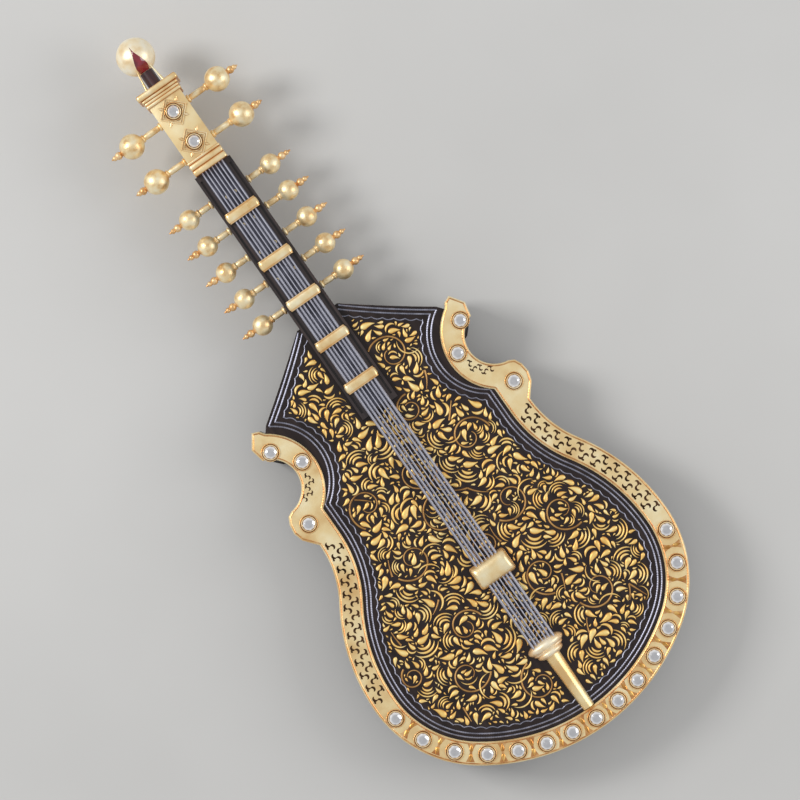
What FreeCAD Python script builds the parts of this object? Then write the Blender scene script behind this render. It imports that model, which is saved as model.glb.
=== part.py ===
import FreeCAD, Part
import math
import os
import re

import Sketcher
from FreeCAD import Placement, Rotation, Vector

# A small jewelled sitar with a waisted, flat-backed body. It lies on its back: +Z is up out of the
# soundboard, +Y runs along the neck to the finial, +X is across, and the origin is under the middle of its
# length and width. Lengths are millimetres. "from_top" is a distance down from the tip of the finial.

SIZES = {
    "overall_length": 848,
    # body outline: tangent arcs from the tail to the flank, then the lobe, the waist, the horn and the shoulder
    "half_width": 180,
    "bout_from_tail": 145,
    "low_side_radius": 128,
    "up_side_radius": 203,
    "up_side_angle": 32.9,
    "flank_radius": 110,
    "rim_width": 24,
    "lobe_low_x": 141.5,
    "lobe_low_from_top": 519,
    "lobe_side_x": 144.5,
    "lobe_side_from_top": 509,
    "lobe_high_x": 143.2,
    "lobe_high_from_top": 499,
    "lobe_corner_x": 139.5,
    "lobe_corner_from_top": 491.5,
    "lobe_notch_x": 133.5,
    "lobe_notch_from_top": 488.5,
    "waist_outer_x": 107.3,
    "waist_outer_from_top": 461,
    "horn_heel_x": 128.5,
    "horn_heel_from_top": 430,
    "horn_side_x": 131.5,
    "horn_side_from_top": 415,
    "horn_tip_x": 121.5,
    "horn_tip_from_top": 400.5,
    "horn_inside_x": 114.5,
    "horn_inside_from_top": 403.5,
    "horn_root_x": 110.5,
    "horn_root_from_top": 409,
    "waist_inner_x": 84,
    "waist_inner_from_top": 451,
    "waist_end_from_top": 504.5,
    "shoulder_x": 105.3,
    "shoulder_from_top": 402.5,
    "shoulder_bulge_x": 64.5,
    "shoulder_bulge_from_top": 372.8,
    "body_top_x": 24.6,
    "body_top_from_top": 342,
    # body depth
    "shell_height": 58,
    "shell_side_low": 24,
    "shell_mid_height": 8,
    "shell_mid_scale": 0.955,
    "shell_back_scale": 0.9,
    "shell_scale_from_tail": 275,
    "back_thickness": 7,
    "board_thickness": 3.5,
    "board_ledge": 6,
    "cavity_top_x": 60,
    "cavity_top_from_top": 470,
    "rim_height": 6.5,
    "rim_chamfer": 1.2,
    "brace_width": 8,
    "brace_height": 12,
    "brace_gap": 4,
    "brace_upper_from_top": 560,
    "brace_upper_half_length": 100,
    "brace_lower_from_top": 705,
    "brace_lower_half_length": 146,
    "tail_block_half_length": 28,
    "tail_block_depth": 22,
    # neck
    "neck_half_width": 21.5,
    "neck_low": 35,
    "neck_bevel": 9.5,
    "neck_wall": 7.5,
    "neck_rib_half": 4,
    "neck_back": 8,
    "plate_low": 61,
    "plate_thickness": 6,
    "neck_end_from_top": 454,
    "channel_start_from_top": 172,
    "channel_end_from_top": 332,
    "groove_x": 17.7,
    "groove_width": 2.4,
    "groove_depth": 3,
    "groove_margin": 6,
    # head
    "head_middle": 55,
    "head_half_width": 18.4,
    "head_half_height": 22,
    "sleeve_wall": 2,
    "sleeve_from_top": 74,
    "nut_from_top": 141,
    "neck_from_top": 157,
    "head_cavity_half": 13,
    "head_cavity_low": 45,
    "head_end_wall": 5,
    "top_collar_from_top": 57,
    "top_collar_flare": 5.6,
    "top_collar_lip": 6,
    "top_collar_step": 2,
    "top_collar_step_length": 9,
    "top_collar_ring": 3,
    "collar_step": 1.2,
    "collar_ring": 4,
    "tenon_half_width": 13,
    "tenon_low": 39,
    "ball_radius": 20,
    "stem_radius": 7.2,
    "stem_seat_from_top": 30,
    "strip_radius": 1.3,
    "strip_top_x": 8.6,
    "strip_bottom_x": 10.4,
    "strip_from_top": 35,
    "ruby_from_top": 27,
    "ruby_half_width": 6.5,
    "ruby_half_length": 11,
    "ruby_half_depth": 4,
    # pegs
    "peg_running_gap": 0.05,
    "peg_shank_radius": 3,
    "peg_pivot_radius": 2.4,
    "peg_pivot_start": 1.2,
    "peg_shoulder_gap": 0.2,
    "peg_wall_gap": 0.5,
    "peg_collar_radius": 4.4,
    "peg_collar_length": 2.5,
    "side_peg_height": 50,
    "side_peg_from_top": 186.5,
    "side_peg_pitch": 32.6,
    "side_ball_radius": 10.5,
    "side_ball_x": 50,
    "side_tip_x": 75,
    "head_peg_height": 57,
    "head_ball_radius": 13,
    "head_ball_x": 55,
    "head_tip_x": 80,
    "head_peg_seat_x": 15.4,
    "left_head_peg_from_top": 92.8,
    "right_head_peg_from_top": 85.6,
    "head_peg_pitch": 43.5,
    "bead_radius": 4.2,
    "bead_tip_radius": 2.8,
    "bead_place": 0.28,
    "bead_tip_place": 0.66,
    "peg_neck_length": 2,
    "cut_margin": 1,
    # strings, frets, bridge and tail
    "main_height": 71,
    "main_pitch": 4,
    "sympathetic_height": 69,
    "sympathetic_radius": 0.45,
    "sympathetic_inner_x": 5,
    "sympathetic_pitch": 2,
    "string_peg_gap": 0.35,
    "string_hole_gap": 0.15,
    "string_end_depth": 1,
    "grommet_radius": 1.6,
    "grommet_hole_radius": 0.9,
    "grommet_lip": 0.6,
    "fret_half_width": 19,
    "fret_length": 11.6,
    "fret_low": 72.4,
    "fret_thickness": 2,
    "fret_leg": 2.2,
    "fret_foot": 1.6,
    "fret_gap": 0.3,
    "fret_round": 1.6,
    "bridge_from_top": 639.5,
    "bridge_length": 26,
    "bridge_half_width": 20.8,
    "bridge_top": 77,
    "bridge_round": 3,
    "tail_cap_from_top": 746,
    "tail_cap_half_width": 20.3,
    "tail_cap_half_length": 7.5,
    "tail_cap_top": 76,
    "tail_ring_half_width": 14.5,
    "tail_ring_half_length": 6,
    "tail_ring_drop": 3,
    "tail_ring_offset": 9,
    "tail_pin_from_top": 755.5,
    "tail_pin_end_from_top": 823,
    "tail_pin_radius": 8.8,
    "tail_pin_end_radius": 6.4,
    # stones and their collets
    "stone_radius": 7,
    "stone_table_radius": 4.8,
    "stone_height": 3.4,
    "collet_radius": 9.6,
    "collet_height": 2.6,
    "collet_floor": 0.6,
    "stone_row_inset": 11.6,
    "stone_row_angle": 12,
    "horn_stone_x": 117,
    "horn_stone_from_top": 427.5,
    "waist_stone_x": 96,
    "waist_stone_from_top": 453.5,
    "lobe_stone_x": 126.5,
    "lobe_stone_from_top": 509,
    "head_stone_upper_from_top": 90,
    "head_stone_lower_from_top": 126.5,
    "head_frame_side": 19,
    "head_frame_height": 1.5,
}
FRET_PLACES = (210.5, 269, 318, 369, 420)
MAIN_STRING_RADII = (0.85, 0.8, 0.75, 0.7, 0.75, 0.8, 0.9)
PEGS_PER_SIDE = 5
RIM_ARC_STONES = 15
LEFT, RIGHT = -1, 1
SIDE_NAMES = {LEFT: "left", RIGHT: "right"}
TOLERANCE = 0.01
TOWARDS_FINIAL = Rotation(Vector(1, 0, 0), -90)
BOARD_LOW = "shell_height"
BOARD_TOP = "shell_height + board_thickness"

doc = FreeCAD.newDocument("Sitar")
sheet = doc.addObject("Spreadsheet::Sheet", "Sizes")
for row, (alias, number) in enumerate(SIZES.items(), start=1):
    sheet.set(f"A{row}", alias.replace("_", " "))
    sheet.set(f"B{row}", str(number))
    sheet.setAlias(f"B{row}", alias)
doc.recompute()

nodes = {}


def node(name, thing):
    """Keeps a finished sub-part under the name that its file gets."""
    thing.Label = name
    nodes[name] = thing
    return thing


def size(alias):
    return float(sheet.get(alias))


def cells(text):
    """A sheet expression, from one that names the cells alone."""
    return re.sub(r"[a-z_]+", lambda word: f"Sizes.{word[0]}" if word[0] in SIZES else word[0], str(text))


def along(from_top):
    """The expression for Y at a distance, or a cell, down from the finial's tip."""
    return f"overall_length / 2 - ({from_top})"


def bind(thing, **properties):
    for name, text in properties.items():
        thing.setExpression(name.replace("__", "."), cells(text))
    return thing


def place(thing, x, y, z, rotation=None):
    if rotation:
        thing.Placement = Placement(Vector(), rotation)
    return bind(thing, Placement__Base__x=x, Placement__Base__y=y, Placement__Base__z=z)


def box(half_x, low_y, high_y, low_z, high_z):
    """A block across the middle plane, from sheet expressions."""
    block = bind(doc.addObject("Part::Box", "Block"), Length=f"2 * ({half_x})")
    bind(block, Width=f"({high_y}) - ({low_y})", Height=f"({high_z}) - ({low_z})")
    return place(block, f"-({half_x})", low_y, low_z)


def rod(radius, length, x, y, z, rotation=None):
    cylinder = bind(doc.addObject("Part::Cylinder", "Rod"), Radius=radius, Height=length)
    return place(cylinder, x, y, z, rotation)


def taper(start_radius, end_radius, length, x, y, z, rotation=None):
    cone = bind(doc.addObject("Part::Cone", "Taper"), Radius1=start_radius, Radius2=end_radius, Height=length)
    return place(cone, x, y, z, rotation)


def ball(radius, x, y, z, rotation=None):
    return place(bind(doc.addObject("Part::Sphere", "Ball"), Radius=radius), x, y, z, rotation)


def oval(half_x, half_y, half_z, x, y, z):
    """An ellipsoid. Its own Radius1 is the half height, Radius2 the half width and Radius3 the half depth."""
    solid = doc.addObject("Part::Ellipsoid", "Oval")
    bind(solid, Radius1=half_z, Radius2=half_x, Radius3=half_y)
    return place(solid, x, y, z)


def fuse(*pieces):
    joined = doc.addObject("Part::MultiFuse", "Fuse")
    joined.Shapes = list(pieces)
    return joined


def cut(base, *tools):
    result = doc.addObject("Part::Cut", "Cut")
    result.Base = base
    result.Tool = tools[0] if len(tools) == 1 else fuse(*tools)
    return result


def common(first, second):
    shared = doc.addObject("Part::MultiCommon", "Common")
    shared.Shapes = [first, second]
    return shared


def group(pieces):
    """Separate solids kept together in one sub-part."""
    bundle = doc.addObject("Part::Compound", "Group")
    bundle.Links = list(pieces)
    return bundle


# ---- PartDesign helpers ----

def plane_of(body, role):
    return next(feature for feature in body.Origin.OriginFeatures if feature.Role == role)


def polygon_sketch(body, role, offset, points):
    """A closed sketch of straight lines. Each corner is held by two dimensions bound to the sheet."""
    sketch = body.newObject("Sketcher::SketchObject", "Sketch")
    sketch.AttachmentSupport = [(plane_of(body, role), "")]
    sketch.MapMode = "FlatFace"
    bind(sketch, AttachmentOffset__Base__z=offset)
    spots = [Vector(number(across), number(up)) for across, up in points]
    count = len(spots)
    for index in range(count):
        sketch.addGeometry(Part.LineSegment(spots[index], spots[(index + 1) % count]))
    for index in range(count):
        sketch.addConstraint(Sketcher.Constraint("Coincident", index, 2, (index + 1) % count, 1))
    for index, (across, up) in enumerate(points):
        for kind, text in (("DistanceX", across), ("DistanceY", up)):
            held = sketch.addConstraint(Sketcher.Constraint(kind, -1, 1, index, 1, number(text)))
            sketch.setExpression(f"Constraints[{held}]", cells(text))
    return sketch


def number(text):
    """The value of an expression made of cells, to start a sketch close to its solved shape."""
    return float(sheet.evalExpression(cells(text)))


def pad(body, sketch, length):
    return bind(feature_on(body, "PartDesign::Pad", sketch), Length=length)


def feature_on(body, kind, sketch):
    feature = body.newObject(kind, kind.split("::")[1])
    feature.Profile = sketch
    return feature


def extruded(name, role, offset, points, length):
    """A PartDesign body padded from one polygon."""
    body = doc.addObject("PartDesign::Body", name)
    pad(body, polygon_sketch(body, role, offset, points), length)
    return body


# ---- body outline ----

def spot(x_cell, from_top_cell):
    return Vector(size(x_cell), number(along(from_top_cell)), 0)


def spots_of(*names):
    return [spot(f"{name}_x", f"{name}_from_top") for name in names]


def arc_through(start, middle, end):
    return Part.Arc(start, middle, end).toShape()


def arc_about(centre, radius, start_angle, end_angle):
    """An arc about a centre, with its angles in degrees from +X."""
    spots = []
    for share in (0, 0.5, 1):
        angle = math.radians(start_angle + share * (end_angle - start_angle))
        spots.append(centre + Vector(math.cos(angle), math.sin(angle), 0) * radius)
    return Part.Arc(*spots).toShape()


def line(start, end):
    return Part.LineSegment(start, end).toShape()


def path(*spots):
    return [line(start, end) for start, end in zip(spots, spots[1:])]


def lower_edges(inset):
    """The right side from the tail up to the end of the flank, as four tangent arcs moved in by inset."""
    tail = -size("overall_length") / 2
    wide = tail + size("bout_from_tail")
    low = Vector(size("half_width") - size("low_side_radius"), wide, 0)
    up = Vector(size("half_width") - size("up_side_radius"), wide, 0)
    reach = size("bout_from_tail")
    side_radius = size("low_side_radius")
    base_radius = (low.x ** 2 + reach ** 2 - side_radius ** 2) / (2 * (reach - side_radius))
    base = Vector(0, tail + base_radius, 0)
    turn = math.degrees(math.atan2(low.y - base.y, low.x - base.x))
    flank_start = math.radians(size("up_side_angle"))
    outward = Vector(math.cos(flank_start), math.sin(flank_start), 0)
    flank = up + outward * (size("up_side_radius") + size("flank_radius"))
    return [
        arc_about(base, base_radius - inset, -90, turn),
        arc_about(low, size("low_side_radius") - inset, turn, 0),
        arc_about(up, size("up_side_radius") - inset, 0, size("up_side_angle")),
        arc_about(flank, size("flank_radius") + inset, 180 + size("up_side_angle"), 180),
    ]


def end_of(edges):
    return edges[-1].valueAt(edges[-1].LastParameter)


def outer_edges():
    """The body's own outline, from the tail to the corner beside the neck."""
    edges = lower_edges(0)
    notch = spot("lobe_notch_x", "lobe_notch_from_top")
    heel = spot("horn_heel_x", "horn_heel_from_top")
    edges += path(end_of(edges), *spots_of("lobe_low", "lobe_side", "lobe_high", "lobe_corner"), notch)
    edges.append(arc_through(notch, spot("waist_outer_x", "waist_outer_from_top"), heel))
    return edges + path(heel, *spots_of("horn_side", "horn_tip", "horn_inside"), root())


def root():
    return spot("horn_root_x", "horn_root_from_top")


def shoulder_edges():
    shoulder = spot("shoulder_x", "shoulder_from_top")
    bulge = spot("shoulder_bulge_x", "shoulder_bulge_from_top")
    return [line(root(), shoulder), arc_through(shoulder, bulge, spot("body_top_x", "body_top_from_top"))]


def inner_edges():
    """The line where the soundboard meets the rim, from the tail to the root of the horn."""
    edges = lower_edges(size("rim_width"))
    flank_end = end_of(edges)
    waist_end = Vector(flank_end.x, number(along("waist_end_from_top")), 0)
    edges.append(line(flank_end, waist_end))
    edges.append(arc_through(waist_end, spot("waist_inner_x", "waist_inner_from_top"), root()))
    return edges


def cavity_edges():
    edges = lower_edges(size("rim_width") + size("board_ledge"))
    edges.append(line(end_of(edges), spot("cavity_top_x", "cavity_top_from_top")))
    return edges


def both_sides(edges, closed_by_top=True):
    """One wire: right-hand edges and their mirror image, joined across the top if asked."""
    mirrored = [edge.mirror(Vector(), Vector(1, 0, 0)) for edge in edges]
    loop = edges + mirrored
    if closed_by_top:
        top = end_of(edges)
        loop.append(line(top, Vector(-top.x, top.y, 0)))
    return Part.Wire(Part.__sortEdges__(loop))


def slab(wire, low, height):
    face = Part.Face(wire)
    face.translate(Vector(0, 0, low))
    return face.extrude(Vector(0, 0, height))


def shaped(shape):
    """A sub-part whose outline is worked out in code, because it is made of arcs tangent to each other."""
    thing = doc.addObject("Part::Feature", "Outline")
    thing.Shape = shape
    return thing


def smaller(wire, factor, height):
    centre = Vector(0, -size("overall_length") / 2 + size("shell_scale_from_tail"), 0)
    section = wire.scaled(factor, centre)
    section.translate(Vector(0, 0, height))
    return section


def shell_blank():
    """The carved body: straight sides above, and below them sides that draw in to the flat back."""
    outline = both_sides(outer_edges() + shoulder_edges())
    side_low = size("shell_side_low")
    upper = slab(outline, side_low, size("shell_height") - side_low)
    sections = [
        smaller(outline, size("shell_back_scale"), 0),
        smaller(outline, size("shell_mid_scale"), size("shell_mid_height")),
        smaller(outline, 1, side_low),
    ]
    lower = Part.makeLoft(sections, True)
    hollow = slab(both_sides(cavity_edges()), size("back_thickness"), size("shell_height"))
    return shaped(upper.fuse(lower).removeSplitter().cut(hollow))


def rim_shape():
    """The gilt rim: a band between the body's outline and the soundboard, from one horn round to the other."""
    outer = both_sides(outer_edges(), closed_by_top=False)
    inner = both_sides(inner_edges(), closed_by_top=False)
    band = Part.Wire(Part.__sortEdges__(outer.Edges + inner.Edges))
    rim = slab(band, size("shell_height"), size("rim_height"))
    top = size("shell_height") + size("rim_height")
    edges = [edge for edge in rim.Edges if edge.BoundBox.ZMin > top - TOLERANCE]
    return rim.makeChamfer(size("rim_chamfer"), edges)


# ---- neck, head and finial ----

def neck_section():
    return [
        ("-neck_half_width", "plate_low"),
        ("-neck_half_width", "neck_low + neck_bevel"),
        ("neck_bevel - neck_half_width", "neck_low"),
        ("neck_half_width - neck_bevel", "neck_low"),
        ("neck_half_width", "neck_low + neck_bevel"),
        ("neck_half_width", "plate_low"),
    ]


def neck_blank():
    """The neck's outside: a bar with bevelled lower edges, from the lower collar to its heel in the body."""
    return extruded("NeckBlank", "XZ_Plane", f"-({along('neck_from_top')})", neck_section(),
                    "neck_end_from_top - neck_from_top")


def neck_shaft(blank):
    """The neck: two channels for the side pegs' strings, with a rib between them that the pegs end in."""
    rib_far = "neck_half_width - neck_wall"
    channels = []
    for side in (LEFT, RIGHT):
        channel = bind(doc.addObject("Part::Box", "Channel"), Length=f"{rib_far} - neck_rib_half",
                       Width="channel_end_from_top - channel_start_from_top", Height="plate_low")
        x = "neck_rib_half" if side == RIGHT else f"-({rib_far})"
        channels.append(place(channel, x, along("channel_end_from_top"), "neck_low + neck_back"))
    tenon = box("tenon_half_width", along("neck_from_top"), along("nut_from_top"), "tenon_low", "plate_low")
    holes = []
    for side in (LEFT, RIGHT):
        for place_number in range(PEGS_PER_SIDE):
            y = along(side_peg_place(place_number))
            holes.append(peg_rod("peg_shank_radius + peg_running_gap", side, "neck_rib_half",
                                 "neck_half_width + cut_margin", y, "side_peg_height"))
            holes.append(peg_rod("peg_pivot_radius + peg_running_gap", side,
                                 "peg_pivot_start - peg_shoulder_gap", "neck_rib_half + cut_margin", y,
                                 "side_peg_height"))
    return cut(fuse(blank, tenon), *channels, *holes)


def side_peg_place(place_number):
    return f"side_peg_from_top + {place_number} * side_peg_pitch"


def across(side):
    """The turn that points a cylinder's own axis out to the left or the right."""
    return Rotation(Vector(0, 1, 0), 90 * side)


def peg_rod(radius, side, start_x, end_x, y, z):
    return rod(radius, f"({end_x}) - ({start_x})", f"{side} * ({start_x})", y, z, across(side))


def peg_taper(radius, end_radius, side, start_x, end_x, y, z):
    return taper(radius, end_radius, f"({end_x}) - ({start_x})", f"{side} * ({start_x})", y, z, across(side))


def neck_plate():
    """The fingerboard plate: two grooves for the frets' feet, and a small hole for each side peg's string."""
    plate = box("neck_half_width", along("neck_end_from_top"), along("neck_from_top"), "plate_low",
                "plate_low + plate_thickness")
    grooves = []
    for side in (LEFT, RIGHT):
        groove = bind(doc.addObject("Part::Box", "Groove"), Length="groove_width",
                      Width="neck_end_from_top - neck_from_top - 2 * groove_margin",
                      Height="groove_depth + cut_margin")
        grooves.append(place(groove, f"{side} * groove_x - groove_width / 2",
                             along("neck_end_from_top - groove_margin"),
                             "plate_low + plate_thickness - groove_depth"))
    holes = [rod("grommet_radius", "plate_thickness + 2 * cut_margin", x, y, "plate_low - cut_margin")
             for x, y in grommet_places()]
    return cut(plate, *grooves, *holes)


def sympathetic_x(side, place_number):
    return f"{side} * (sympathetic_inner_x + {place_number} * sympathetic_pitch)"


def rise(place_number):
    """Where a side peg's string leaves its shank and goes straight up."""
    return f"{side_peg_place(place_number)} + peg_shank_radius + string_peg_gap + sympathetic_radius"


def grommet_places():
    for side in (LEFT, RIGHT):
        for place_number in range(PEGS_PER_SIDE):
            yield sympathetic_x(side, place_number), along(rise(place_number))


def grommets():
    """A short lined tube in each string hole of the plate."""
    tubes = []
    for x, y in grommet_places():
        tube = rod("grommet_radius", "plate_thickness + grommet_lip", x, y, "plate_low")
        hole = rod("grommet_hole_radius", "plate_thickness + 4 * cut_margin", x, y, "plate_low - cut_margin")
        tubes.append(cut(tube, hole))
    return group(tubes)


def head_holes(wall_only):
    """The head pegs' holes, through one side and, in the wooden block, part-way into the other."""
    holes = []
    for side, y in head_peg_places():
        start = "0" if wall_only else "-(head_peg_seat_x + peg_shoulder_gap)"
        holes.append(peg_rod("peg_shank_radius + peg_running_gap", side, start, "head_half_width + cut_margin",
                             y, "head_peg_height"))
    return holes


def head_peg_places():
    for side, first in ((LEFT, "left_head_peg_from_top"), (RIGHT, "right_head_peg_from_top")):
        for place_number in range(2):
            yield side, along(f"{first} + {place_number} * head_peg_pitch")


def head_block():
    """The wooden peg box: closed at the finial's end, open above under the sleeve and below to the nut."""
    half = "head_half_width - sleeve_wall"
    reach = "head_half_height - sleeve_wall"
    block = box(half, along("nut_from_top"), along("sleeve_from_top"), f"head_middle - ({reach})",
                f"head_middle + {reach}")
    cavity = box("head_cavity_half", along("nut_from_top + cut_margin"),
                 along("sleeve_from_top + head_end_wall"),
                 "head_cavity_low", "head_middle + head_half_height")
    return cut(block, cavity, *head_holes(wall_only=False))


def head_sleeve():
    """The gold sleeve round the peg box."""
    outside = box("head_half_width", along("nut_from_top"), along("sleeve_from_top"),
                  "head_middle - head_half_height", "head_middle + head_half_height")
    inside = box("head_half_width - sleeve_wall", along("nut_from_top + cut_margin"),
                 along("sleeve_from_top - cut_margin"), "head_middle - head_half_height + sleeve_wall",
                 "head_middle + head_half_height - sleeve_wall")
    return cut(outside, inside, *head_holes(wall_only=True))


def collar_band(step, low_from_top, high_from_top):
    """One band of a collar, standing out from the head by a step."""
    return box(f"head_half_width + {step}", along(low_from_top), along(high_from_top),
               f"head_middle - head_half_height - ({step})", f"head_middle + head_half_height + {step}")


def top_collar():
    """The flared collar that closes the head's upper end, with the stem's hole through it."""
    bands = [
        collar_band("top_collar_flare", "top_collar_from_top + top_collar_lip", "top_collar_from_top"),
        collar_band("top_collar_flare - top_collar_step", "top_collar_from_top + top_collar_step_length",
                    "top_collar_from_top"),
        collar_band("collar_step", "sleeve_from_top", "top_collar_from_top"),
        collar_band("2 * collar_step", "sleeve_from_top - top_collar_ring", "top_collar_from_top"),
    ]
    bore = rod("stem_radius", "overall_length", 0, along("sleeve_from_top + cut_margin"), "head_middle",
               TOWARDS_FINIAL)
    return cut(fuse(*bands), bore)


def nut_collar():
    """The lower collar. It holds the neck's tenon, and its upper part is the nut, drilled for the strings."""
    bands = [
        collar_band("0", "neck_from_top", "nut_from_top"),
        collar_band("collar_step", "nut_from_top + collar_ring", "nut_from_top"),
        collar_band("collar_step", "neck_from_top", "neck_from_top - collar_ring"),
    ]
    socket = box("tenon_half_width", along("neck_from_top + cut_margin"), along("nut_from_top - cut_margin"),
                 "tenon_low", "plate_low")
    holes = [string_hole(index, "neck_from_top + cut_margin", "nut_from_top - cut_margin")
             for index in range(len(MAIN_STRING_RADII))]
    return cut(fuse(*bands), socket, *holes)


def string_hole(index, low_from_top, high_from_top):
    return rod(f"{MAIN_STRING_RADII[index]} + string_hole_gap", f"({low_from_top}) - ({high_from_top})",
               main_x(index), along(low_from_top), "main_height", TOWARDS_FINIAL)


def main_x(index):
    return f"({index - (len(MAIN_STRING_RADII) - 1) / 2}) * main_pitch"


def finial():
    stem = rod("stem_radius", "sleeve_from_top - stem_seat_from_top", 0, along("sleeve_from_top"),
               "head_middle", TOWARDS_FINIAL)
    socket = rod("stem_radius", "2 * ball_radius", 0, along("stem_seat_from_top + 2 * ball_radius"),
                 "head_middle", TOWARDS_FINIAL)
    ruby = oval("ruby_half_width", "ruby_half_length", "ruby_half_depth", 0, along("ruby_from_top"),
                "head_middle + ball_radius - ruby_half_depth")
    globe = ball("ball_radius", 0, along("ball_radius"), "head_middle")
    node("finial_stem", stem)
    node("finial_drop", ruby)
    node("finial_ball", cut(globe, socket, ruby))
    strips = []
    spread = size("strip_bottom_x") - size("strip_top_x")
    drop = size("top_collar_from_top") - size("strip_from_top")
    for side in (LEFT, RIGHT):
        lean = Rotation(Vector(0, 1, 0), Vector(-side * spread, drop, 0)).multiply(TOWARDS_FINIAL)
        strips.append(rod("strip_radius", "top_collar_from_top - strip_from_top", f"{side} * strip_bottom_x",
                          along("top_collar_from_top"), "head_middle", lean))
    node("finial_strips", group([cut(strip, globe) for strip in strips]))


# ---- pegs ----

def peg(side, y, z, seat, wall, ball_radius, ball_x, tip_x):
    """A turned peg: a shank in the wood, a collar outside it, a shaft, a ball and two beads at the tip."""
    collar_start = f"{wall} + peg_wall_gap"
    ball_end = f"{ball_x} + {ball_radius}"
    bead_x = f"{ball_end} + bead_place * ({tip_x} - ({ball_end}))"
    tip_bead_x = f"{ball_end} + bead_tip_place * ({tip_x} - ({ball_end}))"
    return [
        peg_rod("peg_shank_radius", side, seat, ball_x, y, z),
        peg_rod("peg_collar_radius", side, collar_start, f"{collar_start} + peg_collar_length", y, z),
        peg_taper("peg_collar_radius", "peg_shank_radius", side, f"{ball_x} - {ball_radius} - peg_neck_length",
                  ball_x, y, z),
        ball(ball_radius, f"{side} * ({ball_x})", y, z, across(side)),
        peg_taper("peg_shank_radius", "bead_tip_radius / 2", side, ball_x, tip_x, y, z),
        ball("bead_radius", f"{side} * ({bead_x})", y, z, across(side)),
        ball("bead_tip_radius", f"{side} * ({tip_bead_x})", y, z, across(side)),
    ]


def side_peg(side, place_number):
    y = along(side_peg_place(place_number))
    pieces = peg(side, y, "side_peg_height", "neck_rib_half + peg_shoulder_gap", "neck_half_width",
                 "side_ball_radius", "side_ball_x", "side_tip_x")
    pivot = peg_rod("peg_pivot_radius", side, "peg_pivot_start", "neck_rib_half + cut_margin", y,
                    "side_peg_height")
    return fuse(*pieces, pivot)


def head_peg(side, y):
    return fuse(*peg(side, y, "head_peg_height", "-head_peg_seat_x", "head_half_width",
                     "head_ball_radius", "head_ball_x", "head_tip_x"))


# ---- strings, frets, bridge and tail ----

def string_run(radius, start, end):
    """A straight length of string between two spots given as numbers, with a round end at each."""
    way = end - start
    run = Part.makeCylinder(radius, way.Length, start, way)
    return run.fuse([Part.makeSphere(radius, start), Part.makeSphere(radius, end)])


def main_string(index):
    """A main string: from its head peg up to the nut, and level from there to the tail cap."""
    radius = MAIN_STRING_RADII[index]
    side, peg_y = MAIN_STRING_PEGS[index]
    x = number(main_x(index))
    level = size("main_height")
    lift = size("peg_shank_radius") + size("string_peg_gap") + radius
    foot = Vector(x, number(peg_y), size("head_peg_height") + lift)
    nut = Vector(x, number(along("nut_from_top")), level)
    end = Vector(x, number(along("tail_cap_from_top - string_end_depth")), level)
    return shaped(string_run(radius, foot, nut).fuse(string_run(radius, nut, end)).removeSplitter())


def sympathetic_string(side, place_number):
    """A sympathetic string: up from its side peg through the plate, then level to the tail cap."""
    radius = size("sympathetic_radius")
    x = number(sympathetic_x(side, place_number))
    y = number(along(rise(place_number)))
    level = size("sympathetic_height")
    corner = Vector(x, y, level)
    end = Vector(x, number(along("tail_cap_from_top - string_end_depth")), level)
    upright = string_run(radius, Vector(x, y, size("side_peg_height")), corner)
    return shaped(upright.fuse(string_run(radius, corner, end)).removeSplitter())


def fret_section():
    """Half an arch over the strings, down to a foot in the plate's groove, and its mirror image."""
    plate_top = "plate_low + plate_thickness"
    sole = f"{plate_top} - groove_depth + fret_gap"
    right = [
        ("fret_half_width - fret_round", "fret_low + fret_thickness"),
        ("fret_half_width", "fret_low + fret_thickness - fret_round"),
        ("fret_half_width", f"{plate_top} + fret_gap"),
        ("groove_x + fret_foot / 2", f"{plate_top} + fret_gap"),
        ("groove_x + fret_foot / 2", sole),
        ("groove_x - fret_foot / 2", sole),
        ("groove_x - fret_foot / 2", f"{plate_top} + fret_gap"),
        ("fret_half_width - fret_leg", f"{plate_top} + fret_gap"),
        ("fret_half_width - fret_leg", "fret_low"),
    ]
    left = [(f"-({x})", z) for x, z in reversed(right)]
    return right + left


def fret(place_number):
    from_top = FRET_PLACES[place_number]
    return extruded(f"Fret{place_number + 1}", "XZ_Plane", f"-({along(from_top)}) - fret_length / 2",
                    fret_section(), "fret_length")


def bridge():
    """The gold bridge block, standing on the soundboard and drilled for every string."""
    low = along("bridge_from_top + bridge_length")
    block = box("bridge_half_width", low, along("bridge_from_top"), BOARD_TOP, "bridge_top")
    doc.recompute()
    rounded = doc.addObject("Part::Fillet", "BridgeRounded")
    rounded.Base = block
    top = size("bridge_top")
    edges = enumerate(block.Shape.Edges, start=1)
    rounded.Edges = [(index, size("bridge_round"), size("bridge_round")) for index, edge in edges
                     if edge.BoundBox.ZMin > top - TOLERANCE]
    holes = [string_hole(index, "bridge_from_top + bridge_length + cut_margin", "bridge_from_top - cut_margin")
             for index in range(len(MAIN_STRING_RADII))]
    for side in (LEFT, RIGHT):
        for place_number in range(PEGS_PER_SIDE):
            holes.append(rod("sympathetic_radius + string_hole_gap", "bridge_length + 2 * cut_margin",
                             sympathetic_x(side, place_number), f"{low} - cut_margin", "sympathetic_height",
                             TOWARDS_FINIAL))
    return cut(rounded, *holes)


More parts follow.
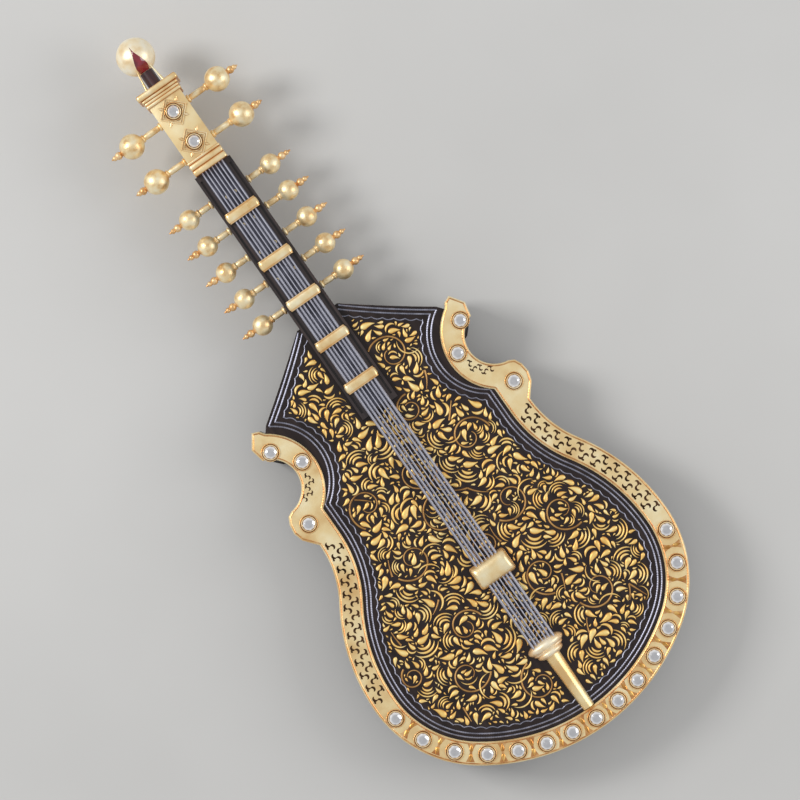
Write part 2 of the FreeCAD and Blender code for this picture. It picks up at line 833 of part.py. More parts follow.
def tail():
    cap = oval("tail_cap_half_width", "tail_cap_half_length", f"tail_cap_top - ({BOARD_TOP})", 0,
               along("tail_cap_from_top"), BOARD_TOP)
    ring = oval("tail_ring_half_width", "tail_ring_half_length",
                f"tail_cap_top - tail_ring_drop - ({BOARD_TOP})",
                0, along("tail_cap_from_top + tail_ring_offset"), BOARD_TOP)
    above = box("half_width", "-overall_length", "0", BOARD_TOP, "2 * tail_cap_top")
    whole_cap = common(fuse(cap, ring), above)
    length = "tail_pin_end_from_top - tail_pin_from_top"
    bar = taper("tail_pin_end_radius", "tail_pin_radius", length, 0, along("tail_pin_end_from_top"), BOARD_TOP,
                TOWARDS_FINIAL)
    node("tail_cap", whole_cap)
    node("tail_pin", cut(common(bar, above), whole_cap))


# ---- stones ----

def stone(x, y, low):
    return taper("stone_radius", "stone_table_radius", "stone_height", x, y, low)


def collet(x, y, low):
    """A gold ring with a thin floor that a stone stands in."""
    outer = rod("collet_radius", "collet_height", x, y, low)
    return cut(outer, rod("stone_radius", "collet_height", x, y, f"{low} + collet_floor"))


def rim_stone_places():
    """Three stones on each horn and waist, and an arc of stones round the tail, inside the rim's edge."""
    for name in ("horn", "waist", "lobe"):
        for side in (LEFT, RIGHT):
            yield side * size(f"{name}_stone_x"), number(along(f"{name}_stone_from_top"))
    row = both_sides(lower_edges(size("stone_row_inset"))[:3], closed_by_top=False)
    wide = -size("overall_length") / 2 + size("bout_from_tail")
    centre = Vector(0, wide, 0)
    for index in range(RIM_ARC_STONES):
        angle = math.radians(-90 + (index - (RIM_ARC_STONES - 1) / 2) * size("stone_row_angle"))
        ray = line(centre, centre + Vector(math.cos(angle), math.sin(angle), 0) * size("overall_length"))
        spot_on_row = min((vertex.Point for vertex in row.section(ray).Vertexes), key=lambda point: point.y)
        yield spot_on_row.x, spot_on_row.y


def head_frame(y):
    """A square gold plate set cornerwise under a head stone."""
    frame = bind(doc.addObject("Part::Box", "Frame"), Length="head_frame_side", Width="head_frame_side",
                 Height="head_frame_height")
    frame.Placement = Placement(Vector(), Rotation(Vector(0, 0, 1), 45))
    return bind(frame, Placement__Base__x="0", Placement__Base__y=f"{y} - head_frame_side / sqrt(2)",
                Placement__Base__z="head_middle + head_half_height")


# ---- the assembly ----

blank = neck_blank()
shell = shell_blank()
node("soundbox_shell", cut(shell, blank))
board_outline = both_sides(inner_edges() + shoulder_edges())
board = shaped(slab(board_outline, size("shell_height"), size("board_thickness")))
slot = box("neck_half_width", along("neck_end_from_top"), "overall_length", "0", "2 * plate_low")
node("soundboard", cut(board, slot))
node("rim", shaped(rim_shape()))
node("neck_shaft", neck_shaft(blank))
node("neck_plate", neck_plate())
node("string_grommets", grommets())
node("head_block", head_block())
node("head_sleeve", head_sleeve())
node("head_top_collar", top_collar())
node("nut_collar", nut_collar())
finial()

for name in ("upper", "lower"):
    middle = f"brace_{name}_from_top"
    node(f"brace_{name}", box(f"brace_{name}_half_length", along(f"{middle} + brace_width / 2"),
                              along(f"{middle} - brace_width / 2"), f"{BOARD_LOW} - brace_height", BOARD_LOW))
tail_wall = "overall_length - rim_width - board_ledge"
node("tail_block", box("tail_block_half_length", along(f"{tail_wall} - brace_gap"),
                       along(f"{tail_wall} - brace_gap - tail_block_depth"), "back_thickness", BOARD_LOW))

for side in (LEFT, RIGHT):
    for place_number in range(PEGS_PER_SIDE):
        node(f"side_peg_{SIDE_NAMES[side]}_{place_number + 1}", side_peg(side, place_number))
head_pegs = {}
for index, (side, y) in enumerate(head_peg_places()):
    name = f"head_peg_{SIDE_NAMES[side]}_{index % 2 + 1}"
    head_pegs[name] = (side, y)
    node(name, head_peg(side, y))

MAIN_STRING_PEGS = [
    head_pegs[name]
    for name in ("head_peg_left_1",) * 2 + ("head_peg_left_2",) * 2 + ("head_peg_right_2",) * 2
    + ("head_peg_right_1",)
]
for index in range(len(MAIN_STRING_RADII)):
    node(f"main_string_{index + 1}", main_string(index))
node("sympathetic_strings", group([sympathetic_string(side, place_number) for side in (LEFT, RIGHT)
                                   for place_number in range(PEGS_PER_SIDE)]))
for place_number in range(len(FRET_PLACES)):
    node(f"fret_{place_number + 1}", fret(place_number))
node("bridge", bridge())
tail()

rim_top = "shell_height + rim_height"
rim_places = list(rim_stone_places())
node("rim_collets", group([collet(x, y, rim_top) for x, y in rim_places]))
node("rim_stones", group([stone(x, y, f"{rim_top} + collet_floor") for x, y in rim_places]))
head_top = "head_middle + head_half_height"
head_places = [along(f"head_stone_{name}_from_top") for name in ("upper", "lower")]
frames = []
for y in head_places:
    ring = collet(0, y, f"{head_top} + head_frame_height")
    frames.append(fuse(head_frame(y), ring))
node("head_collets", group(frames))
node("head_stones", group([stone(0, y, f"{head_top} + head_frame_height + collet_floor") for y in head_places]))

doc.recompute()
faulty = [thing.Label for thing in doc.Objects if {"Invalid", "Error"} & set(thing.State)]
if faulty:
    raise SystemExit(f"failed: {faulty}")
for name, thing in nodes.items():
    if thing.Shape.isNull() or not thing.Shape.isValid():
        raise SystemExit(f"{name} has no valid shape")
os.makedirs("parts", exist_ok=True)
for name, thing in nodes.items():
    thing.Shape.exportStep(f"parts/{name}.step")
    print(f"{name}: {len(thing.Shape.Solids)} solids, {thing.Shape.Volume:.0f} mm3")
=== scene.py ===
import math

import bmesh
import bpy
import numpy as np
from mathutils import Matrix, Vector


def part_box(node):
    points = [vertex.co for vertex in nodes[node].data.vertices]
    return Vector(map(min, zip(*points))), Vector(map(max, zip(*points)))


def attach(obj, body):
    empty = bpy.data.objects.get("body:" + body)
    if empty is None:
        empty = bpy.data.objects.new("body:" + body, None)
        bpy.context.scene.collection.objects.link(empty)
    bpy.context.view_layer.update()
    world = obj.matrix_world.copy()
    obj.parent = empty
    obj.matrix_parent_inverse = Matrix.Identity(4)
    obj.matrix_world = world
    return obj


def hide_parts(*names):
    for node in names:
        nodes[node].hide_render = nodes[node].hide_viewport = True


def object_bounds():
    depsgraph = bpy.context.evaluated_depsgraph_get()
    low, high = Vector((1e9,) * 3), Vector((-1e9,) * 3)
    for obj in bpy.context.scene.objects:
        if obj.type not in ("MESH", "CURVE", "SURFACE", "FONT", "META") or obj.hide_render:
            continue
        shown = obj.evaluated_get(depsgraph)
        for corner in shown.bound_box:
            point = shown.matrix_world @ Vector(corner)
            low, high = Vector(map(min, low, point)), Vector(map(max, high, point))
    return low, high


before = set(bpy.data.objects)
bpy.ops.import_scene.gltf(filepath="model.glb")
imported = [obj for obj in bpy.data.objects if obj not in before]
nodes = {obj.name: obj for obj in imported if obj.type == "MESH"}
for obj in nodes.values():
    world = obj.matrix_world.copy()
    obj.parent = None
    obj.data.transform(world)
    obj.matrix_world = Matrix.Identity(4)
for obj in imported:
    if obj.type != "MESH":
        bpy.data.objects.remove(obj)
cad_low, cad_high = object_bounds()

# The looks of a jewelled sitar that lies on its back: +Y to the finial, +Z up out of the soundboard.
# Outlines are worked out in millimetres, as in the CAD model, and every mesh is made in metres.

MM = 0.001
SEED = 20
ROOT = "instrument"

# ---- the body's outline, as in the CAD model ----

TAIL_Y = cad_low.y / MM
TOP_Y = cad_high.y / MM
HALF_WIDTH = cad_high.x / MM
BOUT_RISE = 145
LOW_SIDE_RADIUS = 128
UP_SIDE_RADIUS = 203
UP_SIDE_ANGLE = 32.9
FLANK_RADIUS = 110
RIM_WIDTH = 24
BOARD_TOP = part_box("soundboard")[1].z / MM
RIM_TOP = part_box("rim")[1].z / MM

LOBE = [(141.5, 519), (144.5, 509), (143.2, 499), (139.5, 491.5), (133.5, 488.5)]
WAIST_OUTER = (107.3, 461)
HORN = [(128.5, 430), (131.5, 415), (121.5, 400.5), (114.5, 403.5), (110.5, 409)]
HORN_ROOT = HORN[-1]
WAIST_INNER = (84, 451)
WAIST_END = 504.5
SHOULDER_BULGE = (64.5, 372.8)
BODY_TOP = (24.6, 342)

# the outermost silver line, inside the soundboard's edge
SILVER_INSET = 28
SILVER_SHOULDER = (103.4, 405)
SILVER_WAIST = (75.2, 457)
SILVER_WAIST_END = (101.8, 502)
SILVER_TOP_IN = 2.2


def at(x, from_top):
    return np.array([x, TOP_Y - from_top], float)


def unit(angle):
    """A step of length one at an angle, or at each of many angles."""
    return np.stack([np.cos(angle), np.sin(angle)], -1)


def sweep(start, end, count):
    """Even angles from one to another, given in degrees and returned in radians."""
    return np.radians(np.linspace(start, end, count))


def circle(count):
    return unit(np.linspace(0, 2 * math.pi, count, endpoint=False))


def bearing(first, last):
    """The angle of the way from one spot to another."""
    return math.atan2(last[1] - first[1], last[0] - first[0])


def arc(centre, radius, start, end):
    count = max(4, int(abs(math.radians(end - start)) * radius) + 1)
    return centre + radius * unit(sweep(start, end, count))


def arc_through(first, middle, last):
    """The points of the arc through three spots."""
    rows = np.array([middle - first, last - first]) * 2
    sums = np.array([middle @ middle - first @ first, last @ last - first @ first])
    centre = np.linalg.solve(rows, sums)
    start, mid, end = (math.degrees(bearing(centre, spot)) for spot in (first, middle, last))
    turn = (end - start) % 360
    if (mid - start) % 360 > turn:
        turn -= 360
    return arc(centre, np.linalg.norm(first - centre), start, start + turn)


def straight(first, last, step=1.0):
    count = max(2, int(np.linalg.norm(last - first) / step) + 1)
    return np.linspace(first, last, count)


def joined(*runs):
    """Runs of points one after another, without the repeated points between them."""
    points = np.concatenate(runs)
    gaps = np.linalg.norm(np.diff(points, axis=0), axis=1)
    return points[np.concatenate([[True], gaps > 0.02])]


def lower_runs(inset):
    """The right side from the tail to the end of the flank: four tangent arcs, moved in by inset."""
    wide = TAIL_Y + BOUT_RISE
    low = np.array([HALF_WIDTH - LOW_SIDE_RADIUS, wide])
    up = np.array([HALF_WIDTH - UP_SIDE_RADIUS, wide])
    squares = low[0] ** 2 + BOUT_RISE ** 2 - LOW_SIDE_RADIUS ** 2
    base_radius = squares / (2 * (BOUT_RISE - LOW_SIDE_RADIUS))
    base = np.array([0, TAIL_Y + base_radius])
    turn = math.degrees(bearing(base, low))
    flank = up + unit(math.radians(UP_SIDE_ANGLE)) * (UP_SIDE_RADIUS + FLANK_RADIUS)
    return [
        arc(base, base_radius - inset, -90, turn),
        arc(low, LOW_SIDE_RADIUS - inset, turn, 0),
        arc(up, UP_SIDE_RADIUS - inset, 0, UP_SIDE_ANGLE),
        arc(flank, FLANK_RADIUS + inset, 180 + UP_SIDE_ANGLE, 180),
    ]


def outer_right():
    """The rim's outer edge, from the tail round the horn's tip."""
    runs = lower_runs(0)
    lobe = [at(*spot) for spot in LOBE]
    horn = [at(*spot) for spot in HORN[:-1]]
    corners = [runs[-1][-1], *lobe]
    runs += [straight(first, last) for first, last in zip(corners, lobe)]
    runs.append(arc_through(lobe[-1], at(*WAIST_OUTER), horn[0]))
    runs += [straight(first, last) for first, last in zip(horn, horn[1:])]
    return joined(*runs)


def inner_right():
    """The rim's inner edge, from the tail to the root of the horn."""
    runs = lower_runs(RIM_WIDTH)
    flank_end = runs[-1][-1]
    waist_end = at(flank_end[0], WAIST_END)
    runs += [straight(flank_end, waist_end), arc_through(waist_end, at(*WAIST_INNER), at(*HORN_ROOT))]
    return joined(*runs)


def silver_right():
    """The outermost silver line, from the tail to the neck."""
    runs = lower_runs(SILVER_INSET)
    waist_end = at(*SILVER_WAIST_END)
    shoulder = at(*SILVER_SHOULDER)
    top = at(BODY_TOP[0], BODY_TOP[1] + SILVER_TOP_IN)
    bulge = at(SHOULDER_BULGE[0] - SILVER_TOP_IN, SHOULDER_BULGE[1] + SILVER_TOP_IN)
    runs += [straight(runs[-1][-1], waist_end), arc_through(waist_end, at(*SILVER_WAIST), shoulder)]
    runs += [arc_through(shoulder, bulge, top)]
    return joined(*runs)


def both(right):
    """From the left-hand end down to the tail and up to the right-hand end, with the inside on the left."""
    return joined((right * [-1, 1])[::-1], right)


def normals(points, closed=False):
    if closed:
        way = np.roll(points, -1, 0) - np.roll(points, 1, 0)
    else:
        way = np.gradient(points, axis=0)
    way = way / np.maximum(np.linalg.norm(way, axis=1, keepdims=True), 1e-9)
    return np.stack([-way[:, 1], way[:, 0]], 1)


def inset(points, distance, closed=False):
    """The line at a distance to the left of a line, without what comes nearer than that at a corner."""
    moved = points + normals(points, closed) * distance
    nearest = np.array([np.min(np.linalg.norm(points - spot, axis=1)) for spot in moved])
    return moved[nearest > distance - 0.05]


def travel(points):
    """How far along a line each of its points lies."""
    return np.concatenate([[0], np.cumsum(np.linalg.norm(np.diff(points, axis=0), axis=1))])


def resampled(points, step, closed=False):
    if closed:
        points = np.concatenate([points, points[:1]])
    travelled = travel(points)
    count = max(3, int(round(travelled[-1] / step)) + 1)
    stops = np.linspace(0, travelled[-1], count)
    even = np.stack([np.interp(stops, travelled, points[:, axis]) for axis in (0, 1)], 1)
    return even[:-1] if closed else even


# ---- mesh making ----

# shares of a strip's half width and of its height, the height share also its painted light: painted shade
# at the edges, painted highlight on the ridge
STRIP_SECTION = ((-1, 0), (-0.62, 0.72), (0, 1), (0.62, 0.72), (1, 0))


class Builder:
    """Collects one mesh's parts, in millimetres, with a painted light value for each corner, mostly
    following the height: 0 painted shade, 1 painted highlight.
    """

    def __init__(self):
        self.corners = []
        self.faces = []
        self.painted_light = []

    def add(self, corners, faces, painted_light):
        start = len(self.corners)
        self.corners.extend(tuple(corner) for corner in corners)
        self.faces.extend(tuple(start + index for index in face) for face in faces)
        self.painted_light.extend(painted_light)

    def rings(self, rings, painted_light=1.0, closed=False):
        """A skin over rings of equal size, with the painted light as one value, one for each ring or one a
        corner.
        """
        count, around = len(rings), len(rings[0])
        if np.size(painted_light) <= count:
            painted_light = np.repeat(np.broadcast_to(painted_light, count), around)
        faces = []
        for ring in range(count if closed else count - 1):
            here, there = ring * around, (ring + 1) % count * around
            for index in range(around):
                after = (index + 1) % around
                faces.append((here + index, here + after, there + after, there + index))
        if not closed:
            faces.append(tuple(reversed(range(around))))
            faces.append(tuple((count - 1) * around + index for index in range(around)))
        self.add([corner for ring in rings for corner in ring], faces, painted_light)

    def finish(self, name, material, body=ROOT, slot="gold", smooth=True, sharp=40, replaces=()):
        mesh = bpy.data.meshes.new(name)
        mesh.from_pydata([(x * MM, y * MM, z * MM) for x, y, z in self.corners], [], self.faces)
        # the painted light values go into a mesh attribute, which the gold shaders turn into painted shade
        # and painted highlight
        layer = mesh.attributes.new("painted_light", "FLOAT", "POINT")
        layer.data.foreach_set("value", np.array(self.painted_light, np.float32))
        cleaned = bmesh.new()
        cleaned.from_mesh(mesh)
        bmesh.ops.recalc_face_normals(cleaned, faces=cleaned.faces)
        cleaned.to_mesh(mesh)
        cleaned.free()
        dress(mesh, name, material, body, smooth, sharp, replaces)


def in_scene(name, data):
    thing = bpy.data.objects.new(name, data)
    bpy.context.scene.collection.objects.link(thing)
    return thing


def dress(mesh, name, material, body, smooth, sharp, replaces):
    if smooth:
        mesh.shade_smooth()
        mesh.set_sharp_from_angle(angle=math.radians(sharp))
    else:
        mesh.shade_flat()
    mesh.materials.append(material)
    piece = in_scene(name, mesh)
    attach(piece, body)
    if replaces:
        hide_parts(*replaces)


def strip(builder, line, halves, heights, low, sink=0.2):
    """A raised, domed strip lying on a surface along a flat line."""
    across = normals(line)
    halves = np.broadcast_to(halves, len(line))
    heights = np.broadcast_to(heights, len(line))
    rings = []
    for spot, side, half, height in zip(line, across, halves, heights):
        ring = [(*(spot + side * share * half), low + rise * height) for share, rise in STRIP_SECTION]
        rings.append([*ring, (*spot, low - sink)])
    # painted shade along the strip's edges and painted highlight along its ridge
    painted_light = [rise for _, rise in STRIP_SECTION] + [0]
    builder.rings(rings, painted_light * len(line))


def wire(builder, line, radius, low, bead, pitch=2.4, closed=False):
    """A round wire half sunk in a surface and milled into beads."""
    section = unit(sweep(90, 390, 6))
    rings, painted_light = [], []
    for spot, side, done in zip(line, normals(line, closed), travel(line)):
        swell = radius * (1 + bead * math.cos(2 * math.pi * done / pitch))
        rings.append([(*(spot + side * out * swell), low + up * swell) for out, up in section])
        # painted light: painted highlight on the wire's top and the beads' crests, painted shade on its
        # flanks and between the beads
        painted_light += [max(0, up) * (0.75 + 0.25 * swell / radius) for _, up in section]
    builder.rings(rings, painted_light, closed)


def turned(builder, profile, place, segments, painted_light=1.0):
    """A shape turned about its own +Z from (height, radius) pairs, put in place by a matrix."""
    rings = []
    for height, radius in profile:
        spots = max(radius, 0.01) * circle(segments)
        rings.append([place @ Vector((*spot, height)) for spot in spots])
    builder.rings(rings, painted_light)


def ball_profile(radius, centre, start, end, steps):
    """Heights and radii of a ball between two angles from its equator."""
    return [(centre + radius * up, radius * out) for out, up in unit(sweep(start, end, steps))]


def rounded(half_a, half_b, corner, steps):
    """The corners of a rounded rectangle about the middle."""
    spots = []
    for quarter, (side_a, side_b) in enumerate(((1, 1), (-1, 1), (-1, -1), (1, -1))):
        for turn in unit(sweep(90 * quarter, 90 * quarter + 90, steps)):
            spots.append(((half_a - corner) * side_a, (half_b - corner) * side_b) + corner * turn)
    return spots


def softened(name, source, material, width):
    """A CAD node's own shape with its edges rounded over."""
    mesh = bpy.data.meshes.new(name)
    shape = bmesh.new()
    shape.from_mesh(nodes[source].data)
    bmesh.ops.remove_doubles(shape, verts=shape.verts, dist=1e-6)
    bmesh.ops.dissolve_limit(shape, angle_limit=math.radians(1), verts=shape.verts, edges=shape.edges)
    sharp = [
        edge for edge in shape.edges
        if edge.is_manifold and edge.calc_face_angle(0) > math.radians(35)
    ]
    bmesh.ops.bevel(shape, geom=sharp, offset=width * MM, segments=3, affect="EDGES", profile=0.6,
                    clamp_overlap=True)
    shape.to_mesh(mesh)
    shape.free()
    dress(mesh, name, material, ROOT, True, 50, (source,))


def set_up(tree, node, values, links):
    """Puts plain values into some of a node's sockets, and links into others."""
    for socket, value in values.items():
        node.inputs[socket].default_value = value
    for socket, source in links.items():
        tree.links.new(source, node.inputs[socket])
    return node


# ---- materials ----

def new_material(name):
    material = bpy.data.materials.new(name)
    material.use_nodes = True
    tree = material.node_tree
    return material, tree, tree.nodes["Principled BSDF"]


def noise(tree, scale, detail=4.0, stretch=(1, 1, 1)):
    """Noise fixed to the piece, at a scale in features to the metre."""
    place = tree.nodes.new("ShaderNodeTexCoord").outputs["Object"]
    mapping = set_up(tree, tree.nodes.new("ShaderNodeMapping"), {"Scale": stretch}, {"Vector": place})
    texture = set_up(tree, tree.nodes.new("ShaderNodeTexNoise"), {"Scale": scale, "Detail": detail},
                     {"Vector": mapping.outputs["Vector"]})
    return texture.outputs["Fac"]


def ramp(tree, source, stops):
    node = tree.nodes.new("ShaderNodeValToRGB")
    for index, (place, colour) in enumerate(stops):
        stop = node.color_ramp.elements[index] if index < 2 else node.color_ramp.elements.new(place)
        stop.position = place
        stop.color = (*colour, 1)
    tree.links.new(source, node.inputs["Fac"])
    return node.outputs["Color"]


def levels(tree, source, low, high):
    values = {"From Min": 0.3, "From Max": 0.7, "To Min": low, "To Max": high}
    node = set_up(tree, tree.nodes.new("ShaderNodeMapRange"), values, {"Value": source})
    return node.outputs["Result"]


def painted_shading(tree, colour, painted_light):
    """A colour times a ramp over the mesh's painted light values, so that low places are darker: painted
    shade in grooves and at edges, painted highlight on ridges.
    """
    height = tree.nodes.new("ShaderNodeAttribute")
    height.attribute_name = "painted_light"
    node = tree.nodes.new("ShaderNodeMix")
    node.data_type = "RGBA"
    node.blend_type = "MULTIPLY"
    set_up(tree, node, {"Factor": 1.0}, {"A": colour, "B": ramp(tree, height.outputs["Fac"], painted_light)})
    return node.outputs["Result"]


def bumped(tree, shader, height, strength, distance):
    node = set_up(tree, tree.nodes.new("ShaderNodeBump"), {"Strength": strength, "Distance": distance},
                  {"Height": height})
    tree.links.new(node.outputs["Normal"], shader.inputs["Normal"])


def gold(name, deep, middle, bright, roughness=(0.26, 0.42), patch=60, grain=900, bump=0.25, painted_light=None,
         metal=0.9):
    """Worked gold: cloudy colour from deep to bright and a beaten skin, with painted shade, darker where
    the painted light value is low.
    """
    material, tree, shader = new_material(name)
    cloud = noise(tree, patch, 5)
    colour = ramp(tree, cloud, [(0.3, deep), (0.7, bright), (0.5, middle)])
    if painted_light:
        colour = painted_shading(tree, colour, painted_light)
    set_up(tree, shader, {"Metallic": metal},
           {"Base Color": colour, "Roughness": levels(tree, cloud, *roughness)})
    bumped(tree, shader, noise(tree, grain, 3), bump, 0.0004)
    return material


WHITE = (1, 1, 1)
# ramps of painted light: the low end is painted shade, red-brown on the golds and grey on the silver, the
# white top end a painted highlight
LEAF_SHADING = [(0.0, (0.4, 0.18, 0.06)), (1.0, WHITE), (0.55, (0.9, 0.76, 0.55))]
EDGE_SHADING = [(0.0, (0.55, 0.25, 0.12)), (1.0, WHITE), (0.4, (0.85, 0.66, 0.5))]
SETTING_SHADING = [(0.0, (0.2, 0.07, 0.025)), (1.0, WHITE), (0.5, (0.85, 0.62, 0.42))]
SILVER_SHADING = [(0.0, (0.25, 0.24, 0.28)), (1.0, WHITE), (0.5, (0.7, 0.7, 0.74))]
PALE = ((0.9, 0.6, 0.26), (1.0, 0.79, 0.44), (1.0, 0.9, 0.62))

pale_gold = gold("pale_gold", *PALE, painted_light=EDGE_SHADING, metal=0.72)
cad_gold = gold("cad_gold", *PALE)
setting_gold = gold("setting_gold", *PALE, painted_light=SETTING_SHADING, metal=0.72)
rim_gold = gold("rim_gold", (0.86, 0.56, 0.24), (0.98, 0.76, 0.4), (1.0, 0.87, 0.56),
                roughness=(0.3, 0.46), patch=35, grain=700, bump=0.4, metal=0.7)
amber_gold = gold("amber_gold", (0.5, 0.2, 0.05), (0.72, 0.38, 0.1), (0.9, 0.58, 0.2), patch=120, bump=0.5)
leaf_gold = gold("leaf_gold", (0.9, 0.56, 0.16), (1.0, 0.72, 0.25), (1.0, 0.86, 0.43),
                 roughness=(0.34, 0.5), patch=90, painted_light=LEAF_SHADING, metal=0.38)
stem_gold = gold("stem_gold", (0.3, 0.16, 0.05), (0.48, 0.28, 0.09), (0.66, 0.42, 0.16),
                 roughness=(0.38, 0.5), painted_light=EDGE_SHADING, metal=0.6)
peg_gold = gold("peg_gold", (0.78, 0.48, 0.2), (0.98, 0.78, 0.45), (1.0, 0.9, 0.64),
                roughness=(0.32, 0.5), patch=130, grain=500, bump=0.6, painted_light=EDGE_SHADING, metal=0.66)
cream_gold = gold("cream_gold", (0.9, 0.67, 0.38), (1.0, 0.86, 0.6), (1.0, 0.94, 0.78),
                  roughness=(0.3, 0.46), patch=90, grain=500, painted_light=EDGE_SHADING, metal=0.45)
copper_gold = gold("copper_gold", (0.55, 0.2, 0.07), (0.75, 0.38, 0.14), (0.92, 0.6, 0.3), patch=90)
# near black: niello's colour, and also the shade that would lie inside punched marks
niello_and_punch_shade = gold("niello_and_punch_shade", (0.02, 0.01, 0.005), (0.06, 0.03, 0.015), (0.12, 0.06, 0.03), roughness=(0.4, 0.6))
silver = gold("silver", (0.24, 0.24, 0.29), (0.36, 0.36, 0.43), (0.5, 0.5, 0.58),
              roughness=(0.34, 0.5), patch=140, painted_light=SILVER_SHADING)
slate = gold("slate", (0.05, 0.05, 0.065), (0.09, 0.09, 0.115), (0.15, 0.15, 0.19),
             roughness=(0.4, 0.55), metal=0.7)


def lacquer():
    """Black-brown lacquer: a clear coat over a dark ground with faint brush marks and fine speckle."""
    material, tree, shader = new_material("black_lacquer")
    brushed = noise(tree, 24, 6, (6, 1, 6))
    stops = [(0.3, (0.012, 0.007, 0.006)), (0.75, (0.030, 0.018, 0.015)), (0.5, (0.019, 0.011, 0.010))]
    set_up(tree, shader, {"Specular IOR Level": 0.25, "Coat Weight": 0.15, "Coat Roughness": 0.15},
           {"Base Color": ramp(tree, brushed, stops), "Roughness": levels(tree, brushed, 0.32, 0.46)})
    bumped(tree, shader, noise(tree, 260, 4), 0.06, 0.0006)
    return material


def wood(name, dark, light, roughness):
    """Wood with its grain along the neck."""
    material, tree, shader = new_material(name)
    grain = noise(tree, 16, 8, (22, 1, 22))
    colour = ramp(tree, grain, [(0.32, dark), (0.72, light)])
    set_up(tree, shader, {"Coat Weight": 0.25, "Coat Roughness": 0.2},
           {"Base Color": colour, "Roughness": levels(tree, grain, roughness, roughness + 0.15)})
    bumped(tree, shader, grain, 0.2, 0.0004)
    return material


def string_metal():
    """Drawn and wound wire: fine turns across the string."""
    material, tree, shader = new_material("string_metal")
    place = tree.nodes.new("ShaderNodeTexCoord").outputs["Object"]
    wave = tree.nodes.new("ShaderNodeTexWave")
    wave.bands_direction = "Y"
    turns = set_up(tree, wave, {"Scale": 450}, {"Vector": place}).outputs["Fac"]
    # the colour follows the turns: painted shade in the grooves between them, painted highlight on their
    # crests
    colour = ramp(tree, turns, [(0.0, (0.42, 0.42, 0.48)), (1.0, (0.55, 0.55, 0.62))])
    set_up(tree, shader, {"Metallic": 0.85},
           {"Base Color": colour, "Roughness": levels(tree, noise(tree, 60), 0.4, 0.5)})
    bumped(tree, shader, turns, 0.1, 0.00004)
    return material


def clear_stone():
    """A foil-backed cut stone: each facet mirrors another part of the room."""
    material, tree, shader = new_material("clear_stone")
    cloud = noise(tree, 220, 2)
    colour = ramp(tree, cloud, [(0.35, (0.88, 0.87, 0.86)), (0.65, (1.0, 0.99, 0.97))])
    # the table is painted darker grey than the crown facets: a painted dark reflection
    colour = painted_shading(tree, colour, [(0.0, (0.4, 0.4, 0.43)), (1.0, WHITE)])
    set_up(tree, shader, {"Metallic": 0.45, "Coat Weight": 1.0, "Coat Roughness": 0.02},
           {"Base Color": colour, "Roughness": levels(tree, cloud, 0.03, 0.1)})
    return material


def red_stone():
    material, tree, shader = new_material("red_stone")
    cloud = noise(tree, 120, 3)
    colour = ramp(tree, cloud, [(0.3, (0.09, 0.004, 0.010)), (0.7, (0.30, 0.012, 0.03))])
    set_up(tree, shader, {"Coat Weight": 1.0, "Coat Roughness": 0.03},
           {"Base Color": colour, "Roughness": levels(tree, cloud, 0.1, 0.2)})
    return material


black_lacquer = lacquer()
dark_wood = wood("dark_wood", (0.012, 0.007, 0.007), (0.045, 0.026, 0.022), 0.34)
stem_wood = wood("stem_wood", (0.02, 0.006, 0.008), (0.08, 0.02, 0.024), 0.3)
bare_wood = wood("bare_wood", (0.3, 0.19, 0.1), (0.6, 0.44, 0.27), 0.6)
string_wire = string_metal()
crystal = clear_stone()
ruby = red_stone()


def give(material, *names):
    """A CAD node keeps its shape and gets a better material."""
    for name in names:
        nodes[name].data.materials.clear()
        nodes[name].data.materials.append(material)


# ---- camera, light and floor ----

PHOTO_LEAN = 34.9
CAMERA_HEIGHT = 3.4
VIEW_WIDTH = 0.815
VIEW_RIGHT = 0.0371
VIEW_DOWN = 0.0166
LAMPS = (
    ("key", (-1.5, 1.7, 1.9), 44, 0.9),
    ("fill", (1.9, -0.9, 1.5), 20, 1.4),
)
FLOOR_REACH = 5


def studio():
    scene = bpy.context.scene
    middle = (cad_low + cad_high) / 2
    lens = bpy.data.cameras.new("view")
    lens.sensor_width = 36
    lens.lens = lens.sensor_width * (CAMERA_HEIGHT - middle.z) / VIEW_WIDTH
    lens.clip_end = 50
    camera = in_scene("view", lens)
    lean = Matrix.Rotation(-math.radians(PHOTO_LEAN), 3, "Z")
    above = Vector((middle.x, middle.y, CAMERA_HEIGHT))
    camera.location = above + lean @ Vector((VIEW_RIGHT, -VIEW_DOWN, 0))
    camera.rotation_euler = lean.to_euler()
    scene.camera = camera
    for name, place, power, width in LAMPS:
        lamp = bpy.data.lights.new(name, "AREA")
        lamp.energy = power
        lamp.size = width
        light = in_scene(name, lamp)
        light.location = place
        light.rotation_euler = (middle - Vector(place)).to_track_quat("-Z", "Y").to_euler()
    world = bpy.data.worlds.new("studio")
    world.use_nodes = True
    sky = {"Color": (0.95, 0.97, 1.0, 1), "Strength": 0.55}
    set_up(world.node_tree, world.node_tree.nodes["Background"], sky, {})
    scene.world = world
    scene.view_settings.view_transform = "Standard"


def floor():
    mesh = bpy.data.meshes.new("floor")
    corners = [(FLOOR_REACH * x, FLOOR_REACH * y, 0) for x, y in ((-1, -1), (1, -1), (1, 1), (-1, 1))]
    mesh.from_pydata(corners, [], [(0, 1, 2, 3)])
    material, tree, shader = new_material("pale_floor")
    colour = ramp(tree, noise(tree, 3, 3), [(0.3, (0.56, 0.55, 0.53)), (0.7, (0.6, 0.59, 0.57))])
    set_up(tree, shader, {"Roughness": 0.85}, {"Base Color": colour})
    mesh.materials.append(material)
    plane = in_scene("floor", mesh)


# ---- silver inlay on the soundboard ----

